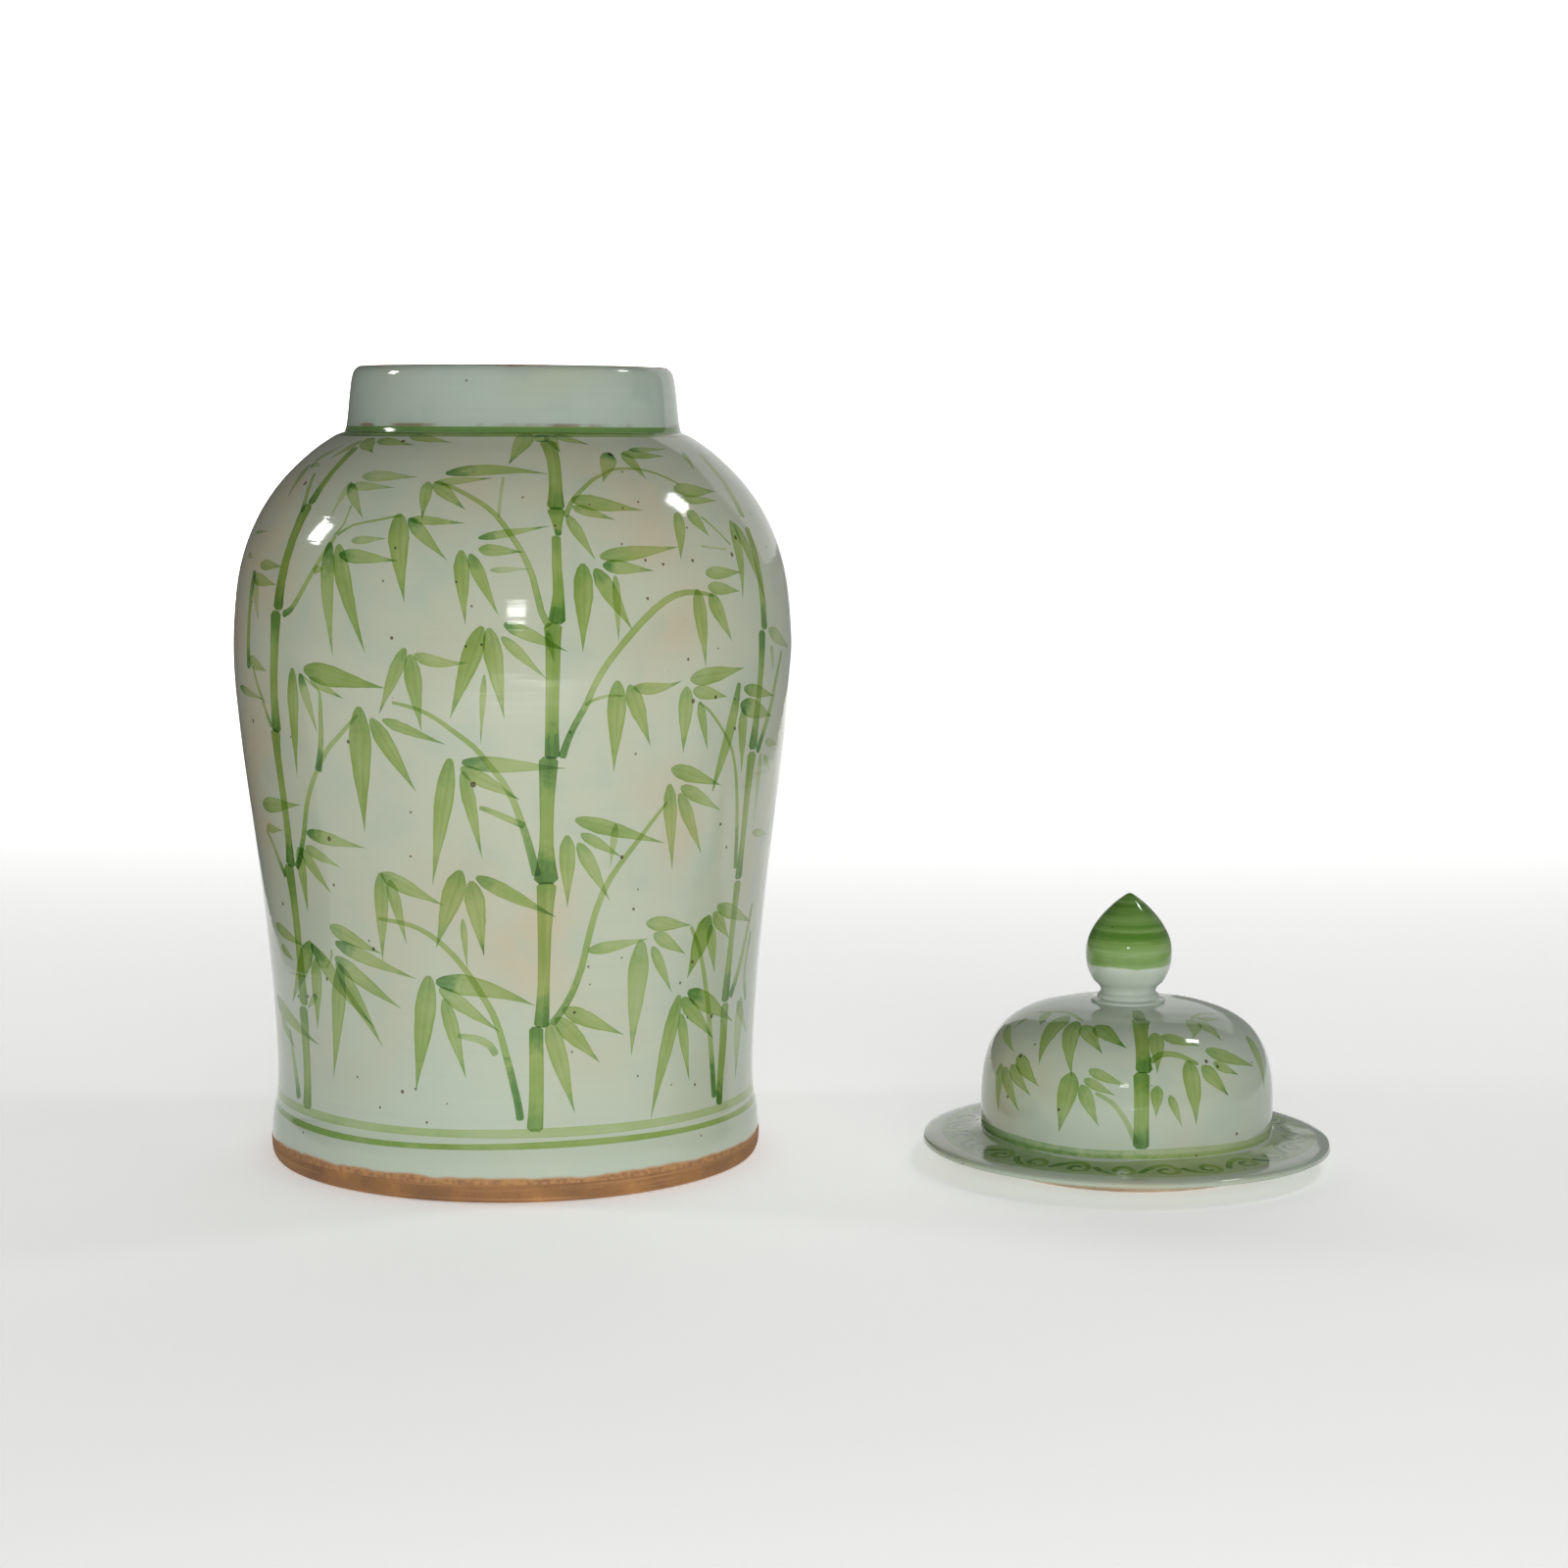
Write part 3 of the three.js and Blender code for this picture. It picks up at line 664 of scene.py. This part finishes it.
lidLines = [
    ((.9, .7), 1.3, [(3, 103, 5), (2, 91.5, 6)]),
    ((.4, .9), 1.7, [(2.4, 89.5, 8.6), (.7, 80, 6.7), (.5, 66, 6.4), (.6, 57.8, 7.8)]),
    ((.4, .8), 1.7, [(-.5, 55, 7.4), (-.5, 38, 6.8), (-.5, 22.6, 7.4)]),
    ((.3, .2), 1.2, [(-75, 84, 2.5), (-65, 89, 2.5), (-55, 91.5, 2.5), (-45, 90, 2.4), (-35, 86, 1.6)]),
    ((.2, .1), .8, [(-2.5, 24, 2.6), (-5, 31, 2.5), (-8, 37, 2.4), (-12, 42.5, 2.2), (-18, 46, 1.6)]),
    ((.3, .2), 1.2, [(4, 62, 3), (8, 65, 3), (13, 65.3, 3), (18, 63.5, 2.6), (24, 59.5, 1.8)]),
    ((.3, .2), 1.1, [(40, 88.5, 2), (55, 91, 2), (66, 87, 1.4)]),
]
lidSpecks = [(-56.2, 58.2, 1.1), (28.5, 60.3, 1.1), (33.5, 57.2, .9), (-51, 65.2, .7), (-32.8, 36.8, .9),
             (-59.2, 37.7, .9), (41, 24.5, .9), (-58.5, 80, 1)]


# ---------- finishes ----------
pigment = {
    "wash": (.42, .27, .93),      # what a yellow-green wash takes from red, green and blue
    "ink": (1.0, .55, .85),       # the blue-green that pools where the brush stops
    "speck": (1.3, 1.6, 1.7),     # iron in the clay, burnt through the glaze
}


def layerDensity(tree, name, spots):
    # how much wash, ink and iron one layer of strokes carries at a point
    wash = addNode(tree, "ShaderNodeAttribute", {"attribute_name": name})
    parts = addNode(tree, "ShaderNodeSeparateColor", inputs={0: wash.outputs["Color"]})
    along, across, inks = parts.outputs[0], parts.outputs[1], parts.outputs[2]

    def sum2(kind, a, b=0.0):
        return addNode(tree, "ShaderNodeMath", {"operation": kind}, {0: a, 1: b}).outputs[0]

    def ease(value, low, high, start, end):
        return addNode(tree, "ShaderNodeMapRange", {"interpolation_type": "SMOOTHSTEP"},
                       {0: value, 1: low, 2: high, 3: start, 4: end}).outputs[0]

    alpha = wash.outputs["Alpha"]
    present = sum2("GREATER_THAN", alpha, .05)
    speck = sum2("GREATER_THAN", alpha, .96)
    tone = sum2("MULTIPLY", sum2("SUBTRACT", alpha, .1), 2.5)
    tone = sum2("MULTIPLY", tone, sum2("SUBTRACT", present, speck))
    offset = sum2("ABSOLUTE", sum2("SUBTRACT", sum2("MULTIPLY", across, 2), 1))
    tip = sum2("MULTIPLY", sum2("FLOOR", inks), .1)
    heel = sum2("DIVIDE", sum2("SUBTRACT", sum2("FRACT", inks), .02), .9)
    seed = sum2("ADD", sum2("MULTIPLY", alpha, 9), sum2("MULTIPLY", inks, 3.7))
    place = addNode(tree, "ShaderNodeCombineXYZ",
                    inputs={0: sum2("MULTIPLY", across, 4.2), 1: sum2("MULTIPLY", along, 1.6), 2: seed})
    hair = addNode(tree, "ShaderNodeTexNoise", inputs={"Vector": place.outputs[0], "Scale": 1.0, "Detail": 2.0})
    streak = ease(hair.outputs[0], .3, .72, .82, 1.22)
    # a wash dries darker along its edge
    rim = ease(offset, .62, .98, 0, .24)
    olive = sum2("MULTIPLY", tone, sum2("ADD", sum2("MULTIPLY", streak, sum2("SUBTRACT", 1.12, heel)), rim))
    olive = sum2("ADD", olive, sum2("MULTIPLY", sum2("MULTIPLY", tone, heel), .8))
    ragged = sum2("ADD", along, sum2("MULTIPLY", sum2("SUBTRACT", spots, .5), .35))
    heelInk = sum2("MULTIPLY", heel, ease(ragged, .04, .3, 1, 0))
    tipInk = sum2("MULTIPLY", tip, ease(ragged, .7, .97, 0, 1))
    ink = sum2("MULTIPLY", sum2("ADD", heelInk, tipInk), sum2("SUBTRACT", present, speck))
    ink = sum2("MULTIPLY", ink, ease(streak, .82, 1.22, .95, 1.35))
    return olive, ink, speck


def glazeMaterial(name, colours, paint, footLine=None, stain=None, coats=None, rusty=None, hem=None):
    # high-fired celadon glaze over stoneware: a deep wet gloss, cloudy colour, and pin-prick iron specks
    material = bpy.data.materials.new(name)
    material.use_nodes = True
    tree = material.node_tree
    tree.nodes.clear()
    out = addNode(tree, "ShaderNodeOutputMaterial")
    shader = addNode(tree, "ShaderNodeBsdfPrincipled", inputs={"IOR": 1.5})
    tree.links.new(shader.outputs[0], out.inputs[0])
    place = addNode(tree, "ShaderNodeTexCoord").outputs["Object"]
    xyz = addNode(tree, "ShaderNodeSeparateXYZ", inputs={0: place})
    height = xyz.outputs[2]

    def sum2(kind, a, b=0.0):
        return addNode(tree, "ShaderNodeMath", {"operation": kind}, {0: a, 1: b}).outputs[0]

    def ease(value, low, high, start=0.0, end=1.0):
        return addNode(tree, "ShaderNodeMapRange", {"interpolation_type": "SMOOTHSTEP"},
                       {0: value, 1: low, 2: high, 3: start, 4: end}).outputs[0]

    def cloud(scale, detail=3.0, stretch=None):
        vector = place
        if stretch:
            vector = addNode(tree, "ShaderNodeMapping", inputs={0: place, "Scale": stretch}).outputs[0]
        return addNode(tree, "ShaderNodeTexNoise",
                       inputs={"Vector": vector, "Scale": scale, "Detail": detail}).outputs[0]

    def mixed(share, a, b):
        return addNode(tree, "ShaderNodeMix", {"data_type": "RGBA"}, {0: share, 6: a, 7: b}).outputs[2]

    broad = cloud(13, 2.0)          # clouds of about 75 mm
    middling = cloud(45, 3.0)       # clouds of about 20 mm
    fine = cloud(420, 2.0)
    colour = mixed(ease(broad, .45, .68), linear(colours[0]), linear(colours[1]))
    colour = mixed(ease(middling, .48, .72, 0, .5), colour, linear(colours[2]))
    if footLine:  # over the lower wall the glaze colour turns paler and bluer towards the foot
        colour = mixed(ease(sum2("ADD", height, sum2("MULTIPLY", broad, .09)), .2, .06, 0, .85), colour,
                       linear("#b0bcab"))
    thrown = cloud(1, 2.0, (6, 6, 420))   # turning lines about 2 mm apart
    colour = mixed(ease(thrown, .4, .75, 0, .14), colour, linear(colours[2]))
    olive, ink, speck = 0.0, 0.0, 0.0
    if paint:
        for layer in ("washA", "washB", "washC"):
            one, two, three = layerDensity(tree, layer, cloud(260, 2.0))
            olive, ink, speck = sum2("ADD", olive, one), sum2("ADD", ink, two), sum2("ADD", speck, three)
        olive = sum2("MULTIPLY", olive, ease(middling, .3, .7, .82, 1.15))
    for low, amount in coats or ():  # washes brushed on while turning, from a height up
        edge = sum2("ADD", height, sum2("MULTIPLY", sum2("SUBTRACT", middling, .5), .006))
        band = sum2("MULTIPLY", ease(edge, low - .0006, low + .0006), ease(thrown, .3, .7, .7, 1.25))
        olive = sum2("ADD", olive, sum2("MULTIPLY", band, amount[0]))
        ink = sum2("ADD", ink, sum2("MULTIPLY", band, amount[1]))
    if hem:  # the green line of the shoulder, carried a little way up the neck
        band = ease(height, hem - .0003, hem + .0003, 1, 0)
        olive, ink = sum2("MULTIPLY", band, 1.5), sum2("MULTIPLY", band, .55)
    dots = addNode(tree, "ShaderNodeTexVoronoi", inputs={"Vector": place, "Scale": 140.0})  # one cell is 7 mm
    chance = addNode(tree, "ShaderNodeSeparateColor", inputs={0: dots.outputs["Color"]}).outputs[0]
    dotMask = sum2("MULTIPLY", ease(dots.outputs["Distance"], .07, .1, 1, 0), sum2("GREATER_THAN", chance, .86))
    speck = sum2("ADD", speck, sum2("MULTIPLY", dotMask, .7))
    total = None
    for amount, takes in ((olive, "wash"), (ink, "ink"), (speck, "speck")):
        part = addNode(tree, "ShaderNodeVectorMath", {"operation": "SCALE"}, {0: pigment[takes], "Scale": amount})
        part = part.outputs[0]
        total = part if total is None else addNode(
            tree, "ShaderNodeVectorMath", {"operation": "ADD"}, {0: total, 1: part}).outputs[0]
    taken = addNode(tree, "ShaderNodeSeparateXYZ", inputs={0: total})
    passed = [sum2("EXPONENT", sum2("MULTIPLY", taken.outputs[k], -1)) for k in range(3)]
    stained = addNode(tree, "ShaderNodeCombineXYZ", inputs={0: passed[0], 1: passed[1], 2: passed[2]})
    colour = addNode(tree, "ShaderNodeVectorMath", {"operation": "MULTIPLY"},
                     {0: colour, 1: stained.outputs[0]}).outputs[0]
    roughness = ease(middling, .3, .7, .06, .1)
    if stain:  # iron-brown line where the glaze thins in a corner
        rise = sum2("ABSOLUTE", sum2("SUBTRACT", height, stain))
        broken = sum2("MULTIPLY", ease(rise, .0002, .0013, .8, 0), ease(middling, .42, .62))
        colour = mixed(broken, colour, linear("#6f5a38"))
    if rusty:  # glaze wiped from the lip, the clay burnt rust brown
        edge = sum2("ADD", height, sum2("MULTIPLY", sum2("SUBTRACT", middling, .5), .003))
        bare = ease(edge, rusty - .0004, rusty + .0004)
        colour = mixed(bare, colour, mixed(ease(fine, .35, .65), linear("#7d5233"), linear("#a8794f")))
        roughness = addNode(tree, "ShaderNodeMix", {"data_type": "FLOAT"}, {0: bare, 2: roughness, 3: .6}).outputs[0]
    if footLine:  # the glaze stops short of the foot and leaves the clay bare
        edge = sum2("ADD", height, sum2("MULTIPLY", sum2("SUBTRACT", middling, .5), .005))
        bare = ease(edge, footLine - .0003, footLine + .0003, 1, 0)
        burnt = ease(edge, footLine, footLine + .0016, .8, 0)
        colour = mixed(burnt, colour, linear("#a8743f"))
        colour = mixed(bare, colour, mixed(ease(fine, .35, .65), linear("#8f6a4c"), linear("#b08355")))
        roughness = addNode(tree, "ShaderNodeMix", {"data_type": "FLOAT"}, {0: bare, 2: roughness, 3: .85}).outputs[0]
    tree.links.new(colour, shader.inputs["Base Color"])
    tree.links.new(roughness, shader.inputs["Roughness"])
    swell = addNode(tree, "ShaderNodeBump", inputs={"Height": cloud(34, 1.0), "Strength": .35, "Distance": .0012})
    lines = addNode(tree, "ShaderNodeBump", inputs={"Height": thrown, "Strength": .12, "Distance": .0005,
                                                   "Normal": swell.outputs[0]})
    tree.links.new(lines.outputs[0], shader.inputs["Normal"])
    return material


def clayMaterial(name, colours):
    # bare fired stoneware: dry toasted brown with gritty turning marks and darker kiln smudges
    material = bpy.data.materials.new(name)
    material.use_nodes = True
    tree = material.node_tree
    shader = tree.nodes["Principled BSDF"]
    place = addNode(tree, "ShaderNodeTexCoord").outputs["Object"]
    smudge = addNode(tree, "ShaderNodeTexNoise", inputs={"Vector": place, "Scale": 38.0, "Detail": 4.0})
    grit = addNode(tree, "ShaderNodeTexNoise", inputs={"Vector": place, "Scale": 1400.0, "Detail": 2.0})  # 0.7 mm grit
    flat = addNode(tree, "ShaderNodeMapping", inputs={0: place, "Scale": (14, 14, 700)})
    marks = addNode(tree, "ShaderNodeTexNoise", inputs={"Vector": flat.outputs[0], "Scale": 1.0, "Detail": 3.0})
    tone = addNode(tree, "ShaderNodeValToRGB", inputs={0: smudge.outputs[0]})
    tone.color_ramp.elements[0].position = .36
    tone.color_ramp.elements[0].color = linear(colours[0])
    tone.color_ramp.elements[1].position = .6
    tone.color_ramp.elements[1].color = linear(colours[1])
    mid = tone.color_ramp.elements.new(.72)
    mid.color = linear(colours[2])
    share = addNode(tree, "ShaderNodeMapRange", inputs={0: marks.outputs[0], 1: .5, 2: .7, 3: 0, 4: .5})
    streaked = addNode(tree, "ShaderNodeMix", {"data_type": "RGBA"},
                       {0: share.outputs[0], 6: tone.outputs[0], 7: linear("#b98f63")})
    gritShare = addNode(tree, "ShaderNodeMapRange", inputs={0: grit.outputs[0], 1: .58, 2: .7, 3: 0, 4: .45})
    gritty = addNode(tree, "ShaderNodeMix", {"data_type": "RGBA"},
                     {0: gritShare.outputs[0], 6: streaked.outputs[2], 7: linear("#54402f")})
    tree.links.new(gritty.outputs[2], shader.inputs["Base Color"])
    dry = addNode(tree, "ShaderNodeMapRange", inputs={0: smudge.outputs[0], 1: .3, 2: .7, 3: .74, 4: .92})
    tree.links.new(dry.outputs[0], shader.inputs["Roughness"])
    lift = addNode(tree, "ShaderNodeMath", {"operation": "ADD"}, {0: grit.outputs[0], 1: marks.outputs[0]})
    bump = addNode(tree, "ShaderNodeBump", inputs={"Height": lift.outputs[0], "Strength": .5, "Distance": .0004})
    tree.links.new(bump.outputs[0], shader.inputs["Normal"])
    return material


jarCeladon, lidCeladon = ("#aeb39f", "#b2ac93", "#9fac9c"), ("#a9b4a2", "#aeb09a", "#9dab9d")
paintedBody = glazeMaterial("painted celadon glaze on the jar", jarCeladon, True, footLine=.0112)
paintedLid = glazeMaterial("painted celadon glaze on the lid", lidCeladon, True)
plainGlaze = glazeMaterial("plain celadon glaze", ("#a2b0a3", "#a3ab99", "#92a296"), False, stain=.3496, rusty=.3767,
                           hem=.3489)
finialBase = lidShape["top"] * mm
greenGlaze = glazeMaterial("green wash under celadon glaze", ("#b9c4b6", "#b4bba6", "#a2af9d"), False,
                           coats=((finialBase + .019, (1.45, .3)), (finialBase + .0305, (.6, .3))))
bareClay = clayMaterial("toasted bare stoneware", ("#7d5b3d", "#9a6f45", "#b98a50"))
paleClay = clayMaterial("pale bare stoneware", ("#9c8a74", "#b5a48c", "#c4b59d"))
print("finishes made")

# ---------- the jar ----------
outline = bodySide.line
innerWall = []
for k in range(0, len(outline), 4):
    (r0, z0), (r1, z1) = outline[max(k - 1, 0)], outline[min(k + 1, len(outline) - 1)]
    slope = math.hypot(r1 - r0, z1 - z0)
    r = outline[k][0] - (z1 - z0) / slope * jarShape["wall"]
    z = outline[k][1] + (r1 - r0) / slope * jarShape["wall"]
    if r > jarShape["mouth"] + jarShape["wall"] and z > jarShape["base"] - 1:
        innerWall.append((r, max(z, jarShape["base"])))
seat = jarShape["neckSeat"]
throat = [(jarShape["mouth"], seat), (jarShape["mouth"], seat - jarShape["wall"])]
top = bodySide.reach[-1]
jarStrokes = [ringStroke(bodySide, 362.4, top - .5, (.5, 0), 1.9, .25),
              ringStroke(bodySide, 30, 34, (.1, 0), .75, .2),
              ringStroke(bodySide, 24.6, 27.4, (.25, 0), 1.4, .7, 2)]
jarStrokes += makeStrokes(bodySide, jarLeaves, jarLines, jarSpecks, ((0, 0), (180, 1)))
jarStrokes += makeStrokes(bodySide, sideLeaves, sideLines, [], ((90, .6), (-90, .6)))
sheet = paintSheet(bodySide, 9, top, jarStrokes)
print("jar sheet cut:", len(sheet[1]), "cells,", len(jarStrokes), "strokes")
paintedShell("glazed_body", bodySide, sheet, jarStrokes, 9, top, 120, throat + innerWall[::-1], [],
             {"material": paintedBody, "body": "jar", "slot": "painted_celadon_glaze",
              "stands for": ("jar_lower_body", "jar_upper_body")})
turnPiece("foot_slab", [(0, 0), (60, .35), (108, .3), (112, 0), (114.6, 0), (116.2, .5), (117, 1.4), (117.7, 3.2),
                        (118, 5), (118.2, 8.98), (111.3, 8.98), (0, 8.98)],
          {"material": bareClay, "body": "jar", "slot": "bare_fired_clay", "stands for": ("jar_base",)})
lip = smoothLine(jarShape["neck"], 4)
turnPiece("glazed_neck", lip + [(71.6, 377), (70.8, 376.8), (70.1, 376.2), (69.8, 375.6), (69.9, 373.5), (70.5, 371.8),
                                (71, 370.4), (71, 358), (71, seat), (80, seat)],
          {"material": plainGlaze, "body": "jar", "slot": "plain_celadon_glaze", "stands for": ("jar_neck",)})

# ---------- the lid ----------
domeTop = domeSide.reach[-1]
domeStrokes = [ringStroke(domeSide, 16.2, 20.6, (.5, 0), .6, .35), ringStroke(domeSide, 16.2, 18, (.4, 0), .5, .2)]
domeStrokes += makeStrokes(domeSide, lidLeaves, lidLines, lidSpecks, ((0, 0), (180, 1)))
sheet = paintSheet(domeSide, 16, domeTop, domeStrokes, 120, 4)
inside = domeLine(lidShape["radius"] - lidShape["wall"], lidShape["top"] - lidShape["wall"], lidShape["seat"], 14)
paintedShell("painted_dome", domeSide, sheet, domeStrokes, 16, domeTop, 120, [(0, lidShape["top"])],
             inside + [(0, lidShape["top"] - lidShape["wall"])],
             {"material": paintedLid, "body": "lid", "slot": "painted_celadon_glaze", "stands for": ("lid_dome",)})
brimScroll = {
    "low": 41,          # the washed band, millimetres along the brim from its underside
    "high": 60.6,
    "middle": 50.6,
    "curls": 24,
    "reach": 6.4,       # outer radius of a curl
    "degree": 1.5,      # millimetres in a degree, halfway across the brim
}
brimStrokes = [ringStroke(brimSide, brimScroll["low"], brimScroll["high"], (.3, 0), .6, .4)]
for k in range(brimScroll["curls"]):  # each curl grows out of the last one's side and winds in, up and down in turn
    side = 1 if k % 2 == 0 else -1
    middle = brush["seam"] + 360 / brimScroll["curls"] * (k + .5) + dice.uniform(-.5, .5)
    reach = brimScroll["reach"] * dice.uniform(.9, 1.05)
    curl = [(-13.5, -2.6), (-9.5, 2.4), (-4.6, 5.4)]
    for n in range(10):
        angle = math.radians(12 + n * 42)
        tight = reach * (1 - n * .07)
        curl.append((tight * math.sin(angle), tight * math.cos(angle)))
    curl = [(middle + x / brimScroll["degree"], brimScroll["middle"] + side * y, between(3, 2.2, n / 12))
            for n, (x, y) in enumerate(curl)]
    brimStrokes.append(Stroke(brimSide, smoothLine(curl, 2), (.8, .8), 1.3))
brimTop = brimSide.reach[-1]
sheet = paintSheet(brimSide, 0, brimTop, brimStrokes, 120, 3)
paintedShell("painted_brim", brimSide, sheet, brimStrokes, 0, brimTop, 120, [(67, 16)], [],
             {"material": paintedLid, "body": "lid", "slot": "painted_celadon_glaze", "stands for": ("lid_brim",)})
bud = smoothLine(lidShape["finial"][4:], 4)
turnPiece("green_finial", [(r, z + lidShape["top"]) for r, z in lidShape["finial"][:4] + bud],
          {"material": greenGlaze, "body": "lid", "slot": "green_painted_glaze", "stands for": ("lid_finial",)},
          lidPlace, 96)
turnPiece("clay_ring", [(61.5, .6), (62.1, 0), (66.4, 0), (67, .6), (66.98, 16), (61.5, 16), (61.5, .6)],
          {"material": paleClay, "body": "lid", "slot": "bare_fired_clay", "stands for": ("lid_locating_ring",)},
          lidPlace, 96)

# ---------- camera ----------
camera = bpy.data.objects.new("camera", bpy.data.cameras.new("camera"))
bpy.context.scene.collection.objects.link(camera)
camera.data.lens = 71.16
camera.data.sensor_width = 36
pitch, roll = -.114, .0055
camera.location = (.1296, -1.4863, .34855)
camera.rotation_euler = (Euler((math.pi / 2 + pitch, 0, 0)).to_matrix() @ Matrix.Rotation(roll, 3, "Z")).to_euler()
bpy.context.scene.camera = camera

# ---------- floor, backdrop and lights ----------


def stageMaterial(name, hexColour, glow):
    # matt white card
    material = bpy.data.materials.new(name)
    material.use_nodes = True
    shader = material.node_tree.nodes["Principled BSDF"]
    shader.inputs["Base Color"].default_value = linear(hexColour)
    shader.inputs["Roughness"].default_value = .9
    shader.inputs["Specular IOR Level"].default_value = .1
    shader.inputs["Emission Color"].default_value = (1, 1, 1, 1)
    shader.inputs["Emission Strength"].default_value = glow
    return material


def card(name, size, place, turn, material):
    bpy.ops.object.select_all(action="DESELECT")
    bpy.ops.mesh.primitive_plane_add(size=1, location=place, rotation=turn)
    piece = bpy.context.object
    piece.name = name
    piece.scale = (size[0], size[1], 1)
    bpy.ops.object.transform_apply(location=True, rotation=True, scale=True)
    piece.data.materials.append(material)
    return piece


def softbox(name, place, target, width, height, radiance, mirrored=True):
    light = bpy.data.lights.new(name, "AREA")
    light.shape = "RECTANGLE"
    light.size = width
    light.size_y = height
    light.energy = radiance * math.pi * width * height
    lamp = bpy.data.objects.new(name, light)
    bpy.context.scene.collection.objects.link(lamp)
    lamp.location = place
    lamp.visible_glossy = mirrored
    lamp.rotation_euler = (Vector(target) - Vector(place)).to_track_quat("-Z", "Y").to_euler()


def glint(name, side, phi, v, away, width, height, radiance):
    # a window-like lamp set where the glaze mirrors it to the camera at one place
    spot, n = side.point(phi, v), side.normal(phi, v)
    look = (spot - camera.location).normalized()
    bounce = look - 2 * look.dot(n) * n
    softbox(name, spot + bounce * away, spot, width, height, radiance)


studio = {"floorGlow": .32, "backGlow": 1.0, "roomGlow": .6, "leftGlow": .06, "rightGlow": .25, "ambient": .1}
card("floor", (60, 60), (0, 0, 0), (0, 0, 0), stageMaterial("matt white floor", "#fcfcfb", studio["floorGlow"]))
backdrop = card("backdrop", (3.4, 1.6), (0, 3.2, .78), (math.pi / 2, 0, 0),
                stageMaterial("matt white backdrop", "#f4f4f2", studio["backGlow"]))
backdrop.visible_glossy = False  # the glaze mirrors the dimmer room behind it, so its edges stay dark
room = card("room", (4.2, 3), (1.35, 3.6, 1.5), (math.pi / 2, 0, 0),
            stageMaterial("grey room behind", "#808080", studio["roomGlow"]))
room.visible_diffuse = False
for name, x, glow in (("dark card on the left", -.42, studio["leftGlow"]), ("dim card on the right", .75, studio["rightGlow"])):
    flag = card(name, (3.1, .42), (x, 1.45, .21), (math.pi / 2, 0, math.pi / 2), stageMaterial(name, "#202020", glow))
    flag.visible_camera = False  # only the glaze sees these: low enough to pass under the shoulder lamps
    flag.visible_diffuse = False
    flag.visible_shadow = False
world = bpy.data.worlds.new("studio")
world.use_nodes = True
world.node_tree.nodes["Background"].inputs[0].default_value = (1, 1, 1, 1)
world.node_tree.nodes["Background"].inputs[1].default_value = studio["ambient"]
bpy.context.scene.world = world
softbox("key, low in front", (.45, -1.9, .24), (0, 0, .12), .8, .5, 10.5, False)
softbox("low front card", (.12, -1.2, .1), (.1, 0, .04), .9, .2, 5.5, False)
softbox("fill, low on the right", (1.0, -1.5, .42), (.1, 0, .16), 1.1, .8, .4, False)
softbox("overhead on the right", (1.1, -.4, 1.9), (.2, 0, 0), 1.2, 1.2, .5, False)
softbox("wash on the floor behind", (.15, 2.2, 1.15), (.15, 2.3, 0), 4, 1.6, 1.7, False)
glint("left shoulder window", bodySide, -40, 305, 1.2, .18, .18, 20)
glint("right shoulder window", bodySide, 44.5, 319.5, 1.2, .16, .16, 20)
glint("front catchlight", bodySide, 5.3, 271, 1.1, .16, .08, 16)
glint("foot window", bodySide, 4, 16.6, .9, .26, .05, 12)
glint("front glow", bodySide, 5, 112, 1.1, .24, .4, 1.6)

print("scene finished")
